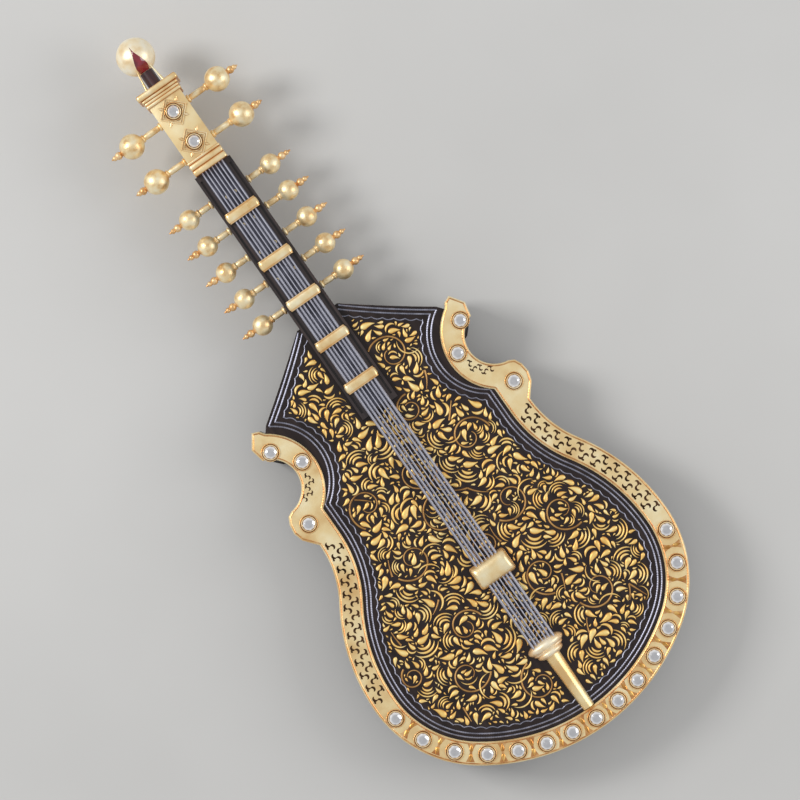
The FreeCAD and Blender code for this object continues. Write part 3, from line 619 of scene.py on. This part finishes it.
SILVER_STEP = 0.8
SILVER_RADIUS = 0.85
SILVER_GAP = 4.2
SCALLOP_RADIUS = 0.6
SCALLOP_IN = 9.2
SCALLOP_PITCH = 11.5
SCALLOP_DEPTH = 1.7


def silver_inlay():
    """Two milled silver lines along the soundboard's edge, and a thinner scalloped one inside them."""
    edge = both(silver_right())
    lines = Builder()
    for distance in (0, SILVER_GAP):
        line = resampled(inset(edge, distance) if distance else edge, SILVER_STEP)
        wire(lines, line, SILVER_RADIUS, BOARD_TOP + 0.1, 0.16)
    inner = resampled(inset(edge, SCALLOP_IN), SILVER_STEP)
    count = round(len(inner) * SILVER_STEP / SCALLOP_PITCH)
    phase = np.linspace(0, count * math.pi, len(inner))
    scalloped = inner + normals(inner) * (SCALLOP_DEPTH * np.abs(np.sin(phase)))[:, None]
    wire(lines, scalloped, SCALLOP_RADIUS, BOARD_TOP + 0.05, 0.1)
    lines.finish("silver_inlay", silver, slot="string_steel")


# ---- gold foliage on the soundboard ----

CELL = 0.6
FOLIAGE_IN = 12.0
LEAF_GAP = 0.35
KEPT_CLEAR = (("neck_plate", 2.0), ("bridge", 1.5), ("tail_cap", 1.0), ("tail_pin", 1.5))
HEAD_AT = 0.32               # how far along a leaf its head ends
CENTRE_TRIES = 4000
SCROLL_GAP = 46
FAN_GAP = 52
# the size of each round of leaves, and how many spots are tried for it
CURLS = ((19, 900), (15.5, 1300), (12.5, 1800), (10, 2400))
FILLERS = ((7.5, 3000), (5.6, 4500), (4.2, 6500), (3.0, 9000))


class Ground:
    """The part of the soundboard that leaves may cover, as a fine grid that they are stamped on."""

    def __init__(self):
        border = resampled(inset(both(silver_right()), FOLIAGE_IN), 3)
        self.low = border.min(0)
        size = np.ceil((border.max(0) - self.low) / CELL).astype(int)
        x = self.low[0] + CELL * (np.arange(size[0]) + 0.5)
        y = self.low[1] + CELL * (np.arange(size[1]) + 0.5)
        grid_x, grid_y = np.meshgrid(x, y, indexing="ij")
        self.free = np.zeros(grid_x.shape, bool)
        for (ax, ay), (bx, by) in zip(border, np.roll(border, -1, 0)):
            if ay != by:
                crosses = (ay > grid_y) != (by > grid_y)
                self.free ^= crosses & (grid_x < (bx - ax) * (grid_y - ay) / (by - ay) + ax)
        for node, margin in KEPT_CLEAR:
            low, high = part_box(node)
            covered = (grid_x > low.x / MM - margin) & (grid_x < high.x / MM + margin)
            covered &= (grid_y > low.y / MM - margin) & (grid_y < high.y / MM + margin)
            self.free &= ~covered

    def random_spot(self, chance):
        return self.low + chance.random(2) * (np.array(self.free.shape) * CELL)

    def cells(self, spots):
        index = ((spots - self.low) / CELL).astype(int)
        return tuple(np.clip(index, 0, np.array(self.free.shape) - 1).T)


def comma(spot, angle, length, width, bend=0.0):
    """The line and half widths of a leaf with a round head and a curling tail."""
    share = np.linspace(0, 1, 11)
    way, side = unit(angle), unit(angle + math.pi / 2)
    line = spot + length * ((share - 0.4)[:, None] * way + (bend * share ** 2)[:, None] * side)
    head = np.sqrt(np.clip(1 - ((share - HEAD_AT) / 0.33) ** 2, 0.03, 1))
    tail = 1 - np.clip((share - HEAD_AT) / (1 - HEAD_AT), 0, 1) ** 1.5
    return line, 0.5 * width * np.where(share < HEAD_AT, head, np.maximum(tail, 0.08))


def crescent(centre, radius, angle, span, width):
    """The line and half widths of a leaf bent round a centre."""
    share = np.linspace(0, 1, 13)
    line = centre + radius * unit(angle + (share - 0.5) * span)
    return line, 0.5 * width * np.maximum(np.sin(math.pi * share) ** 0.7, 0.1)


def spiral(centre, outer, inner, angle, turns, hand):
    share = np.linspace(0, 1, max(24, int(44 * turns)))
    radius = outer * (inner / outer) ** share
    return centre + radius[:, None] * unit(angle + hand * 2 * math.pi * turns * share)


def leaf_spots(line, halves):
    """Spots all over a leaf, seven across each of its stations."""
    shares = np.linspace(-1, 1, 7)[None, :, None]
    return (line[:, None] + normals(line)[:, None] * (shares * halves[:, None, None])).reshape(-1, 2)


def try_leaf(builder, ground, line, halves, height, allowed=0.97):
    """Lays a leaf down if enough of the ground under it is free."""
    fine = np.linspace(0, 1, 2 * len(line))
    own = np.linspace(0, 1, len(line))
    dense = np.stack([np.interp(fine, own, line[:, axis]) for axis in (0, 1)], 1)
    wide = np.interp(fine, own, halves)
    if ground.free[ground.cells(leaf_spots(dense, wide))].mean() < allowed:
        return False
    ground.free[ground.cells(leaf_spots(dense, wide + LEAF_GAP))] = False
    strip(builder, line, halves, height * (0.35 + 0.65 * halves / halves.max()), BOARD_TOP)
    return True


def scroll_centres(ground, chance, gap):
    """Spots spread over the free ground, none nearer to another than gap."""
    centres = []
    for _ in range(CENTRE_TRIES):
        spot = ground.random_spot(chance)
        free = ground.free[ground.cells(spot[None])][0]
        if free and all(np.linalg.norm(spot - other) > gap for other in centres):
            centres.append(spot)
    return centres


def curl(leaves, ground, spot, angle, reach, chance):
    """A comma leaf with up to three thinner crescents bent round its back."""
    bend = 0.55 * chance.choice([-1, 1])
    line, halves = comma(spot, angle, reach * 0.68, reach * 0.36, bend)
    if not try_leaf(leaves, ground, line, halves, 1.3):
        return
    back = angle + math.pi * 0.5 * math.copysign(1, -bend) + chance.uniform(-0.5, 0.5)
    for radius, width in ((0.4, 0.17), (0.62, 0.14), (0.84, 0.12)):
        line, halves = crescent(spot, reach * radius, back, chance.uniform(1.7, 2.6), reach * width)
        try_leaf(leaves, ground, line, halves, 0.9, 0.93)


def scroll(leaves, stems, ground, centre, hand, chance):
    """A spiral stem, as large as there is room for, with leaves along its outside and one at its heart."""
    start = chance.uniform(0, 2 * math.pi)
    for outer in (24, 20, 16, 12.5):
        line = spiral(centre, outer, 6, start, 1.1, hand)
        if try_leaf(stems, ground, line, np.linspace(1.0, 0.5, len(line)), 0.6, 0.98):
            break
    for share in np.linspace(0.04, 0.92, 8):
        index = int(share * (len(line) - 2))
        outward = bearing(line[index], line[index + 1]) - hand * chance.uniform(0.5, 0.8)
        reach = 21 * (1 - 0.4 * share)
        root = line[index] + unit(outward) * reach * 0.55
        curl(leaves, ground, root, outward, reach * 0.8, chance)
    curl(leaves, ground, centre, start, 12, chance)


def fan(leaves, stems, ground, centre, chance):
    """Seven bent stalks spread from one spot, each with a leaf at its tip."""
    facing = chance.uniform(0, 2 * math.pi)
    for turn in np.linspace(-1.15, 1.15, 7):
        share = np.linspace(0, 1, 9)[:, None]
        reach = chance.uniform(15, 22)
        line = centre + unit(facing + turn) * reach * share
        line = line + unit(facing + turn + math.pi / 2) * reach * 0.25 * turn * share ** 2
        if try_leaf(stems, ground, line, np.linspace(1.0, 0.4, 9), 0.6):
            tip = facing + turn * 1.5
            curl(leaves, ground, line[-1] + unit(tip) * 4.4, tip, 11, chance)


def foliage():
    """Scrolling stems with fans of fine stalks, and curled leaves that fill the ground between them."""
    chance = np.random.default_rng(SEED)
    ground = Ground()
    leaves, stems = Builder(), Builder()
    centres = scroll_centres(ground, chance, SCROLL_GAP)
    hands = chance.choice([-1, 1], len(centres))
    for centre, hand in zip(centres, hands):
        scroll(leaves, stems, ground, centre, hand, chance)
    for centre in scroll_centres(ground, chance, FAN_GAP):
        fan(leaves, stems, ground, centre, chance)
    centres = np.array(centres)
    for reach, attempts in CURLS:
        for _ in range(attempts):
            spot = ground.random_spot(chance)
            nearest = centres[np.argmin(np.linalg.norm(centres - spot, axis=1))]
            flow = bearing(nearest, spot) + math.pi / 2 + chance.uniform(-0.5, 0.5)
            curl(leaves, ground, spot, flow, reach, chance)
    for length, attempts in FILLERS:
        for _ in range(attempts):
            spot = ground.random_spot(chance)
            bend = 0.5 * chance.choice([-1, 1])
            line, halves = comma(spot, chance.uniform(0, 2 * math.pi), length, length * 0.56, bend)
            try_leaf(leaves, ground, line, halves, 0.9)
    leaves.finish("foliage_leaves", leaf_gold)
    stems.finish("foliage_stems", stem_gold)


# ---- the rim's ornament ----

STONE_RADIUS = 7.0
COLLET_RADIUS = 9.6
COLLET_CORNERS = 80
MARK_PITCH = 6.8
FLANK_MARK = (6.0, 3.6)      # size, and how far each row stands off the middle line
WAIST_MARK = (4.2, 1.5)
WAIST_MIDDLE = ((113.5, 486.5), (100.5, 473), (96.3, 464))


def rim_edges():
    """A fine gold wire set in along both edges of the rim."""
    root = at(*HORN_ROOT)
    outer, inner = both(outer_right()), both(inner_right())
    band = joined(outer, straight(outer[-1], root), inner[::-1], straight(inner[0], outer[0]))[:-1]
    line = resampled(inset(resampled(band, 1.0, True), 1.9, True), 0.9, True)
    wires = Builder()
    wire(wires, line, 0.75, RIM_TOP - 0.1, 0.12, pitch=2.7, closed=True)
    wires.finish("rim_wires", copper_gold, slot="gilt_wood")


def chased(builder, spot, angle, size, hand):
    """One punched mark: two curls back to back and a dot, as in scrollwork; raised and near black, the
    colour of niello and also the shade inside a punched mark.
    """
    marks = []
    for side in (-1, 1):
        centre = spot + unit(angle) * side * size * 0.42
        turn = angle + math.pi / 2 * side * hand
        marks.append(crescent(centre, size * 0.4, turn, 3.5, size * 0.42))
    dot = spot + unit(angle + math.pi / 2) * size * 0.62 * hand
    marks.append(comma(dot, angle, size * 0.5, size * 0.36))
    for line, halves in marks:
        strip(builder, line, halves, 0.28, RIM_TOP, 0.1)


def rim_marks():
    """Scrollwork along the rim's plain flanks, from the lobes down to the first stones of the tail."""
    marks = Builder()
    runs = lower_runs(RIM_WIDTH / 2)
    waist = arc_through(*[at(*spot) for spot in WAIST_MIDDLE])
    flank = joined(runs[2][int(len(runs[2]) * 0.08):], runs[3])
    rows = (flank, MARK_PITCH, *FLANK_MARK), (waist, MARK_PITCH * 0.8, *WAIST_MARK)
    for row, pitch, size, sway in rows:
        right = resampled(row, pitch)[:-1]
        way = np.gradient(right, axis=0)
        for index, (spot, step) in enumerate(zip(right, way)):
            hand = 1 if index % 2 else -1
            angle = math.atan2(step[1], step[0])
            place = spot + unit(angle + math.pi / 2) * sway * hand
            chased(marks, place, angle + 0.35 * hand, size, hand)
            chased(marks, place * [-1, 1], math.pi - angle - 0.35 * hand, size, -hand)
    marks.finish("rim_scrollwork", niello_and_punch_shade, slot="gilt_wood")


def stone_places(node):
    """The middle, in millimetres, of each separate solid in a CAD node, from the lowest y up."""
    shape = bmesh.new()
    shape.from_mesh(nodes[node].data)
    bmesh.ops.remove_doubles(shape, verts=shape.verts, dist=1e-6)
    unseen = set(shape.verts)
    found = []
    while unseen:
        reached = [unseen.pop()]
        for vertex in reached:
            touching = {edge.other_vert(vertex) for edge in vertex.link_edges} & unseen
            unseen -= touching
            reached += touching
        spots = np.array([vertex.co for vertex in reached]) / MM
        found.append((spots.min(0), spots.max(0)))
    shape.free()
    found.sort(key=lambda ends: (round(float(ends[0][1]), 3), round(float(ends[0][0]), 3)))
    return [((low + high) / 2)[:2] for low, high in found]


def cut_stone(builder, x, y, low, height, turn):
    """A round cut stone: girdle, eight crown facets with eight between them, and a flat table."""
    sides = 8
    corners = []
    for rise, reach, offset in ((0, 0.97, 0.5), (0.3, 1.0, 0.5), (0.68, 0.8, 0.0), (1.0, 0.5, 0.5)):
        angles = 2 * math.pi * (np.arange(sides) + offset) / sides + turn
        corners += [(*spot, low + height * rise) for spot in (x, y) + STONE_RADIUS * reach * unit(angles)]
    # crown and girdle 1, the table 0.3: the table takes a painted dark reflection
    painted_light = [1.0] * (3 * sides) + [0.3] * sides
    faces = [tuple(reversed(range(sides))), tuple(3 * sides + index for index in range(sides))]
    for index in range(sides):
        after = (index + 1) % sides
        faces.append((index, after, sides + after, sides + index))
        faces.append((sides + index, sides + after, 2 * sides + after))
        faces.append((2 * sides + index, sides + index, 2 * sides + after))
        faces.append((2 * sides + index, 2 * sides + after, 3 * sides + index))
        faces.append((3 * sides + index, 2 * sides + after, 3 * sides + after))
    builder.add(corners, faces, painted_light)


def collet_ring(builder, x, y, low, top):
    """A gadrooned setting: an outer foot, a groove and a lip folded over the stone, with painted shadow in
    the groove and painted highlight on the foot's crest and the lip.
    """
    lip, foot = STONE_RADIUS - 0.35, COLLET_RADIUS
    share_reach_glow = [
        (0.0, lip, 0), (0.0, foot, 0), (0.12, foot, 0.2), (0.42, foot - 0.15, 0.7), (0.55, foot - 0.55, 1),
        (0.42, foot - 1.0, 0.6), (0.1, foot - 1.2, 0), (0.1, lip + 1.4, 0), (0.7, lip + 1.3, 0.5),
        (0.95, lip + 1.05, 0.9), (1.0, lip + 0.65, 1), (0.97, lip + 0.25, 0.9), (0.8, lip, 0.2),
    ]
    lobed = 1 + 0.022 * np.cos(20 * np.linspace(0, 2 * math.pi, COLLET_CORNERS, endpoint=False))
    rings = []
    for share, reach, _ in share_reach_glow:
        swell = lobed if reach > foot - 0.7 else np.ones(COLLET_CORNERS)
        spots = (x, y) + (reach * swell)[:, None] * circle(COLLET_CORNERS)
        rings.append([(*spot, low + (top - low) * share) for spot in spots])
    builder.rings(rings, [glow for _, _, glow in share_reach_glow], closed=True)


def rim_jewels():
    stones, collets, ground, petals = Builder(), Builder(), Builder(), Builder()
    places = stone_places("rim_stones")
    stone_low, stone_top = RIM_TOP + 0.5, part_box("rim_stones")[1].z / MM
    collet_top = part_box("rim_collets")[1].z / MM
    for index, (x, y) in enumerate(places):
        cut_stone(stones, x, y, stone_low, stone_top - stone_low, 0.37 * index)
        collet_ring(collets, x, y, RIM_TOP, collet_top)
    stones.finish("rim_cut_stones", crystal, slot="clear_stone", smooth=False, replaces=("rim_stones",))
    collets.finish("rim_settings", setting_gold, replaces=("rim_collets",))
    # deeper ground between the stones of the tail, with a pair of petals in each gap
    wide = TAIL_Y + BOUT_RISE
    row = [spot for spot in places if spot[1] < wide + 12]
    row.sort(key=lambda spot: math.atan2(spot[0], wide - spot[1]))
    for first, last in zip(row, row[1:]):
        middle = (first + last) / 2
        across = bearing(first, last) + math.pi / 2
        for outward in (across - math.pi, across):
            line, halves = comma(middle + unit(outward) * 4.6, outward, 8.2, 4.2)
            strip(petals, line, halves, 0.8, RIM_TOP, 0.1)
        share = np.linspace(-1, 1, 9)
        line = middle + share[:, None] * unit(across) * 9.4
        strip(ground, line, 1.2 + 3.4 * np.abs(share) ** 1.5, 0.22, RIM_TOP, 0.1)
    petals.finish("rim_petals", amber_gold, slot="gilt_wood")
    ground.finish("rim_ground", copper_gold, slot="gilt_wood")


# ---- pegs ----

def peg_profile(wall, ball_radius, ball_at, tip_at, seat, pivot):
    """Heights out from the middle plane, and radii: shank, collar, shaft, ball, two beads and a point."""
    shank, collar = 3.0, 4.4
    start = wall + 0.5
    shaft_end = ball_at - ball_radius
    profile = [(pivot, 0.0), (pivot, 2.4), (seat, 2.4), (seat, shank), (start, shank)]
    profile += [(start, collar - 0.4), (start + 0.5, collar), (start + 1.9, collar)]
    profile += [(start + 2.5, collar - 0.5), (start + 2.9, 2.7), (start + 3.6, 3.15)]
    swell = np.linspace(start + 4.4, shaft_end - 3.6, 7)
    profile += [(height, 3.15 + 0.2 * math.sin(math.pi * index / 6)) for index, height in enumerate(swell)]
    profile += [(shaft_end - 2.8, 2.7), (shaft_end - 2.0, 3.9), (shaft_end - 0.9, 4.3)]
    profile += [(shaft_end + 0.1, 3.7), *ball_profile(ball_radius, ball_at, -68, 70, 20)]
    ball_end = ball_at + ball_radius
    run = tip_at - ball_end
    profile += [(ball_end - 0.2, 2.6), (ball_end + 0.05 * run, 2.1)]
    for middle, radius in ((0.28, 4.1), (0.66, 2.7)):
        profile += ball_profile(radius, ball_end + middle * run, -62, 62, 9)
    profile += [(ball_end + 0.86 * run, 1.2), (tip_at - 0.3, 0.6), (tip_at, 0.0)]
    return profile


def peg_painted_light(profile, ball_radius):
    """Grooves of the turning are darker than its rings and its ball: painted shade in the grooves, painted
    highlight on the rings and ball; the beads and the point get a coppery middle tone.
    """
    tops = [2.4, 3.35, 4.4, ball_radius, 4.1, 2.7]
    values = []
    for _, radius in profile:
        nearest = min((top for top in tops if top >= radius - 0.01), default=ball_radius)
        values.append(1.0 if radius > 4.5 else max(0.0, 1 - (nearest - radius) / 1.1))
    last_ball = max(index for index, (_, radius) in enumerate(profile) if radius > 4.5)
    return values[:last_ball + 1] + [0.3 + 0.25 * value for value in values[last_ball + 1:]]


def pegs():
    for name in nodes:
        if not name.startswith(("head_peg", "side_peg")):
            continue
        low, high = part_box(name)
        side = 1 if "right" in name else -1
        tip = (high.x if side > 0 else -low.x) / MM
        if name.startswith("head"):
            ball_radius, ball_at, wall, pivot = 13, 55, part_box("head_sleeve")[1].x / MM, -15.4
            seat = pivot + 0.5
        else:
            ball_radius, ball_at, wall, pivot, seat = 10.5, 50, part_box("neck_shaft")[1].x / MM, 1.2, 4.2
        profile = peg_profile(wall, ball_radius, ball_at, tip, seat, pivot)
        middle = Vector((0, (low.y + high.y) / 2 / MM, (low.z + high.z) / 2 / MM))
        place = Matrix.Translation(middle) @ Matrix.Rotation(math.radians(90 * side), 4, "Y")
        builder = Builder()
        turned(builder, profile, place, 44, peg_painted_light(profile, ball_radius))
        builder.finish(f"turned_{name}", peg_gold, body=name, slot="gilt_wood", replaces=(name,))


# ---- frets ----

# shares of a fret's half width and of its thickness, and the painted light there: painted highlight along
# the middle and on the milled edge, painted shade in the groove beside it and at the sides
FRET_SECTION = (
    (-1, -1, 0.2), (-1, -0.3, 0.3), (-0.9, 0.15, 0.8), (-0.8, 0.0, 0.2), (-0.55, 0.65, 0.9),
    (-0.25, 0.93, 1), (0.25, 0.93, 1),
    (0.55, 0.65, 0.9), (0.8, 0.0, 0.2), (0.9, 0.15, 0.8), (1, -0.3, 0.3), (1, -1, 0.2),
)


def frets():
    """Each fret is a bowed band with a milled edge; its two legs end in feet in the plate's grooves."""
    for index in range(1, 6):
        name = f"fret_{index}"
        low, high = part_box(name)
        half, bottom, top = high.x / MM, low.z / MM, high.z / MM
        middle, reach = (low.y + high.y) / 2 / MM, (high.y - low.y) / 2 / MM
        corner = 2.6
        path = [(-half + 1.3, bottom), (-half + 1.3, bottom + 3.2), (-half + 1.1, top - corner - 1.0)]
        path += [(-half + 1.1 + corner * (1 - out), top - 1.0 - corner * (1 - up))
                 for out, up in unit(sweep(8, 90, 7))]
        path += [(x, top - 1.0) for x in np.linspace(-half + 6, 0, 4)]
        path += [(-x, z) for x, z in reversed(path[:-1])]
        path = np.array(path, float)
        rings = []
        for (x, z), (nx, nz) in zip(path, normals(path)):
            thick = 0.8 + 0.2 * min(1.0, max(0.0, (z - bottom - 2.7) / 0.8))
            rings.append([(x + nx * thick * rise, middle + share * reach, z + nz * thick * rise)
                          for share, rise, _ in FRET_SECTION])
        builder = Builder()
        builder.rings(rings, [glow for _, _, glow in FRET_SECTION] * len(rings))
        builder.finish(f"banded_{name}", pale_gold, body=name, replaces=(name,), sharp=60)


# ---- head and finial ----

def square_frame(builder, x, y, low, half, bar, height):
    """A raised square set cornerwise: a bar with a ridge along each side."""
    section = ((-bar, 0), (-bar * 0.5, height), (bar * 0.5, height), (bar, 0), (0, -0.3))
    rings = []
    for way in unit(np.radians([0, 90, 180, 270])):
        rings.append([(*((x, y) + way * (half + across)), low + rise) for across, rise in section])
    # painted highlight on each ridge, painted shade at the bar's feet
    builder.rings(rings, [0.1, 1, 1, 0.1, 0] * 4, closed=True)


def head_jewels():
    stones, settings = Builder(), Builder()
    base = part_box("head_sleeve")[1].z / MM
    ring_low = base + 0.6
    ring_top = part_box("head_collets")[1].z / MM
    stone_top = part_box("head_stones")[1].z / MM
    for index, (x, y) in enumerate(stone_places("head_stones")):
        for half, bar, height in ((15.4, 0.9, 1.4), (12.6, 0.9, 1.8)):
            square_frame(settings, x, y, base, half, bar, height)
        collet_ring(settings, x, y, ring_low, ring_top)
        cut_stone(stones, x, y, ring_low, stone_top - ring_low, 0.2 + 0.5 * index)
        for corner in range(4):
            way = math.radians(45 + 90 * corner)
            line, halves = comma((x, y) + unit(way) * 13.2, way, 5.0, 3.4)
            strip(settings, line, halves, 0.7, base, 0.1)
    stones.finish("head_cut_stones", crystal, slot="clear_stone", smooth=False, replaces=("head_stones",))
    settings.finish("head_settings", setting_gold, replaces=("head_collets",))


def collar_rings(name, replaced, bands):
    """A moulded collar round the head: rounded rectangles of changing size along the neck, one skin."""
    sleeve_low, sleeve_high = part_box("head_sleeve")
    half, rise = sleeve_high.x / MM, (sleeve_high.z - sleeve_low.z) / 2 / MM
    middle = (sleeve_high.z + sleeve_low.z) / 2 / MM
    rings = []
    for from_top, out, _ in bands:
        spots = rounded(half + out, rise + out, 2.2, 5)
        rings.append([(x, TOP_Y - from_top, middle + z) for x, z in spots])
    builder = Builder()
    builder.rings(rings, [glow for _, _, glow in bands])
    builder.finish(name, pale_gold, replaces=replaced, sharp=50)


def rounded_band(start, end, out, depth):
    """Stations of one half-round band between two distances from the top, with painted highlight along its
    crown and painted shade at its ends.
    """
    stations = [(start, out - depth, 0.1)]
    for across, up in unit(sweep(20, 160, 7)):
        stations.append((start + (end - start) * (1 - across) / 2, out - depth + depth * up, up))
    stations.append((end, out - depth, 0.1))
    return stations


def head():
    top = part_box("head_top_collar")
    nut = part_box("nut_collar")
    start, end = TOP_Y - top[1].y / MM, TOP_Y - top[0].y / MM
    flare = top[1].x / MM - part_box("head_sleeve")[1].x / MM
    bands = [(start, flare - 2.2, 0.5)]
    bands += rounded_band(start + 0.1, start + 6.5, flare, 1.4)
    bands += rounded_band(start + 6.6, start + 10.0, flare - 2.6, 0.9)
    bands += rounded_band(start + 10.2, start + 13.2, 2.0, 0.8)
    bands += rounded_band(start + 13.4, end, 2.2, 0.9)
    collar_rings("moulded_top_collar", ("head_top_collar",), bands)
    start, end = TOP_Y - nut[1].y / MM, TOP_Y - nut[0].y / MM
    bands = rounded_band(start, start + 2.6, 1.1, 0.8)
    bands += rounded_band(start + 3.2, start + 9.2, 1.2, 1.3)
    bands += rounded_band(start + 9.8, end - 0.1, 1.1, 0.9)
    collar_rings("moulded_nut_collar", ("nut_collar",), bands)
    softened("rounded_head_sleeve", "head_sleeve", rim_gold, 1.2)


def finial():
    low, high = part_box("finial_ball")
    radius = (high.z - low.z) / 2 / MM
    middle = Vector((0, high.y / MM - radius, (high.z + low.z) / 2 / MM))
    globe = Builder()
    turned(globe, ball_profile(radius, 0, -90, 90, 40), Matrix.Translation(middle), 64)
    globe.finish("finial_globe", cream_gold, slot="gilt_wood", replaces=("finial_ball",))
    # the drop: a pointed flame laid over the front of the ball, open towards the stem
    drop = Builder()
    rings = []
    across = np.linspace(-1, 1, 9)
    for share in np.linspace(0, 1, 22):
        along = 9.5 - 28.0 * share
        half = 0.2 + 6.4 * math.sin(math.pi * 0.5 * min(1.0, share * 1.12)) ** 2.1
        half *= 1 - 0.12 * max(0, share - 0.75)
        ring = []
        for place in across:
            lift = 0.55 * (1 - place ** 2) * min(1, share * 5)
            level = math.sqrt(max(1.0, radius ** 2 - along ** 2 - (half * place) ** 2)) + lift
            ring.append((half * place, middle.y + along, middle.z + level))
        ring.append((0, middle.y + along, middle.z + math.sqrt(max(1.0, radius ** 2 - along ** 2)) - 2.5))
        rings.append(ring)
    drop.rings(rings, [*(1 - np.abs(across) ** 3), 0] * len(rings))
    drop.finish("finial_flame", ruby, slot="red_stone", replaces=("finial_drop",))
    strips = Builder()
    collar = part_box("head_top_collar")[1].y / MM
    for side in (-1, 1):
        start = Vector((side * 7.6, middle.y - 15.5, middle.z + 9.0))
        end = Vector((side * 10.6, collar - 1.0, middle.z + 9.0))
        way = end - start
        place = Matrix.Translation(start) @ way.to_track_quat("Z", "Y").to_matrix().to_4x4()
        run = way.length
        profile = [(0, 0), (0, 0.9), (run * 0.5, 1.0), (run - 2.4, 1.5), (run, 2.3), (run, 0)]
        turned(strips, profile, place, 16)
    strips.finish("finial_gold_strips", pale_gold, replaces=("finial_strips",))


# ---- bridge and tail ----

BRIDGE_CORNER = 3.2
BRIDGE_TOP_IN = 7.0


def barrel_bridge():
    """The bridge: a block bowed over from front to back, with a groove round its foot."""
    low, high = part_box("bridge")
    half_x, half_y = high.x / MM, (high.y - low.y) / 2 / MM
    middle, bottom, top = (high.y + low.y) / 2 / MM, low.z / MM, high.z / MM
    # third values: painted shade in the groove round the foot, rising to painted highlight on the top
    stations = [(0, 0, 0.2), (0.16, 0, 0.35), (0.19, 0.9, 0), (0.25, 0.9, 0), (0.28, 0.1, 0.4)]
    stations += [(share, 0.1, share) for share in (0.4, 0.52, 0.64, 0.74, 0.82, 0.89, 0.94, 0.975, 0.995)]
    rings = []
    for share, pull, _ in stations:
        bow = (1 - share ** 3) ** (1 / 3)
        reach_x = half_x - pull - BRIDGE_TOP_IN * (1 - bow)
        reach_y = max(half_y * bow - pull, 1.0)
        spots = rounded(reach_x, reach_y, min(BRIDGE_CORNER, reach_y * 0.9), 6)
        rings.append([(x, middle + y, bottom + (top - bottom) * share) for x, y in spots])
    builder = Builder()
    builder.rings(rings, [glow for _, _, glow in stations])
    builder.finish("barrel_bridge", pale_gold, replaces=("bridge",), sharp=60)


GROUND_HALF = 13.6
GROUND_MARGIN = 3.0


def string_ground():
    """A slate-grey inlay let into the fingerboard under the strings."""
    low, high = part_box("neck_plate")
    line = straight(np.array([0, low.y / MM + GROUND_MARGIN]), np.array([0, high.y / MM - 0.5]), 4)
    builder = Builder()
    strip(builder, line, GROUND_HALF, 0.3, high.z / MM, 0.1)
    builder.finish("fingerboard_inlay", slate, slot="string_steel")


def half_dome(builder, half_x, half_y, height, middle_y, base, painted_light_at_foot=0.25):
    """Half an ellipsoid standing on the soundboard, with painted shade at its foot and painted highlight on
    its top.
    """
    rings, painted_light = [], []
    for out, up in unit(sweep(0, 88, 14)):
        spots = (0, middle_y) + circle(56) * out * (half_x, half_y)
        rings.append([(*spot, base + height * up) for spot in spots])
        painted_light.append(painted_light_at_foot + (1 - painted_light_at_foot) * up)
    builder.rings(rings, painted_light)


CAP_HALF_DEPTH = 7.5
PIN_END_RADIUS = 6.6


def tail():
    low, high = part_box("tail_cap")
    base, height = low.z / MM, (high.z - low.z) / MM
    middle = high.y / MM - CAP_HALF_DEPTH
    cap = Builder()
    half_dome(cap, high.x / MM, CAP_HALF_DEPTH, height, middle, base)
    half_dome(cap, 14.5, 5.2, height - 3.0, middle - 9.0, base, 0.1)
    half_dome(cap, 17.0, 4.4, height - 4.4, middle - 5.0, base, 0.0)
    cap.finish("tail_dome", cream_gold, replaces=("tail_cap",))
    low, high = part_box("tail_pin")
    start, end = high.y / MM + 3.0, low.y / MM
    angles = sweep(0, 180, 15)
    section = unit(angles) * (1 - 0.05 * np.abs(np.cos(3 * angles)))[:, None]
    rings = []
    for share in np.linspace(0, 1, 12):
        radius = high.x / MM * (1 - share) + PIN_END_RADIUS * share
        tall = (high.z - low.z) / MM * (1 - 0.22 * share)
        y = start + (end - start) * share
        rings.append([(radius * out, y, base - 0.2 + (tall + 0.2) * up) for out, up in section])
    pin = Builder()
    pin.rings(rings, [*(0.2 + 0.8 * np.sin(angles) ** 2)] * len(rings))
    pin.finish("tail_taper", rim_gold, replaces=("tail_pin",))


studio()
floor()
give(black_lacquer, "soundbox_shell", "soundboard")
give(dark_wood, "neck_shaft", "neck_plate")
give(bare_wood, "head_block", "brace_upper", "brace_lower", "tail_block")
give(string_wire, "sympathetic_strings", *[name for name in nodes if name.startswith("main_string_")])
give(rim_gold, "rim")
give(cad_gold, "string_grommets")
give(stem_wood, "finial_stem")
silver_inlay()
foliage()
rim_edges()
rim_marks()
rim_jewels()
pegs()
frets()
head_jewels()
head()
finial()
barrel_bridge()
string_ground()
tail()
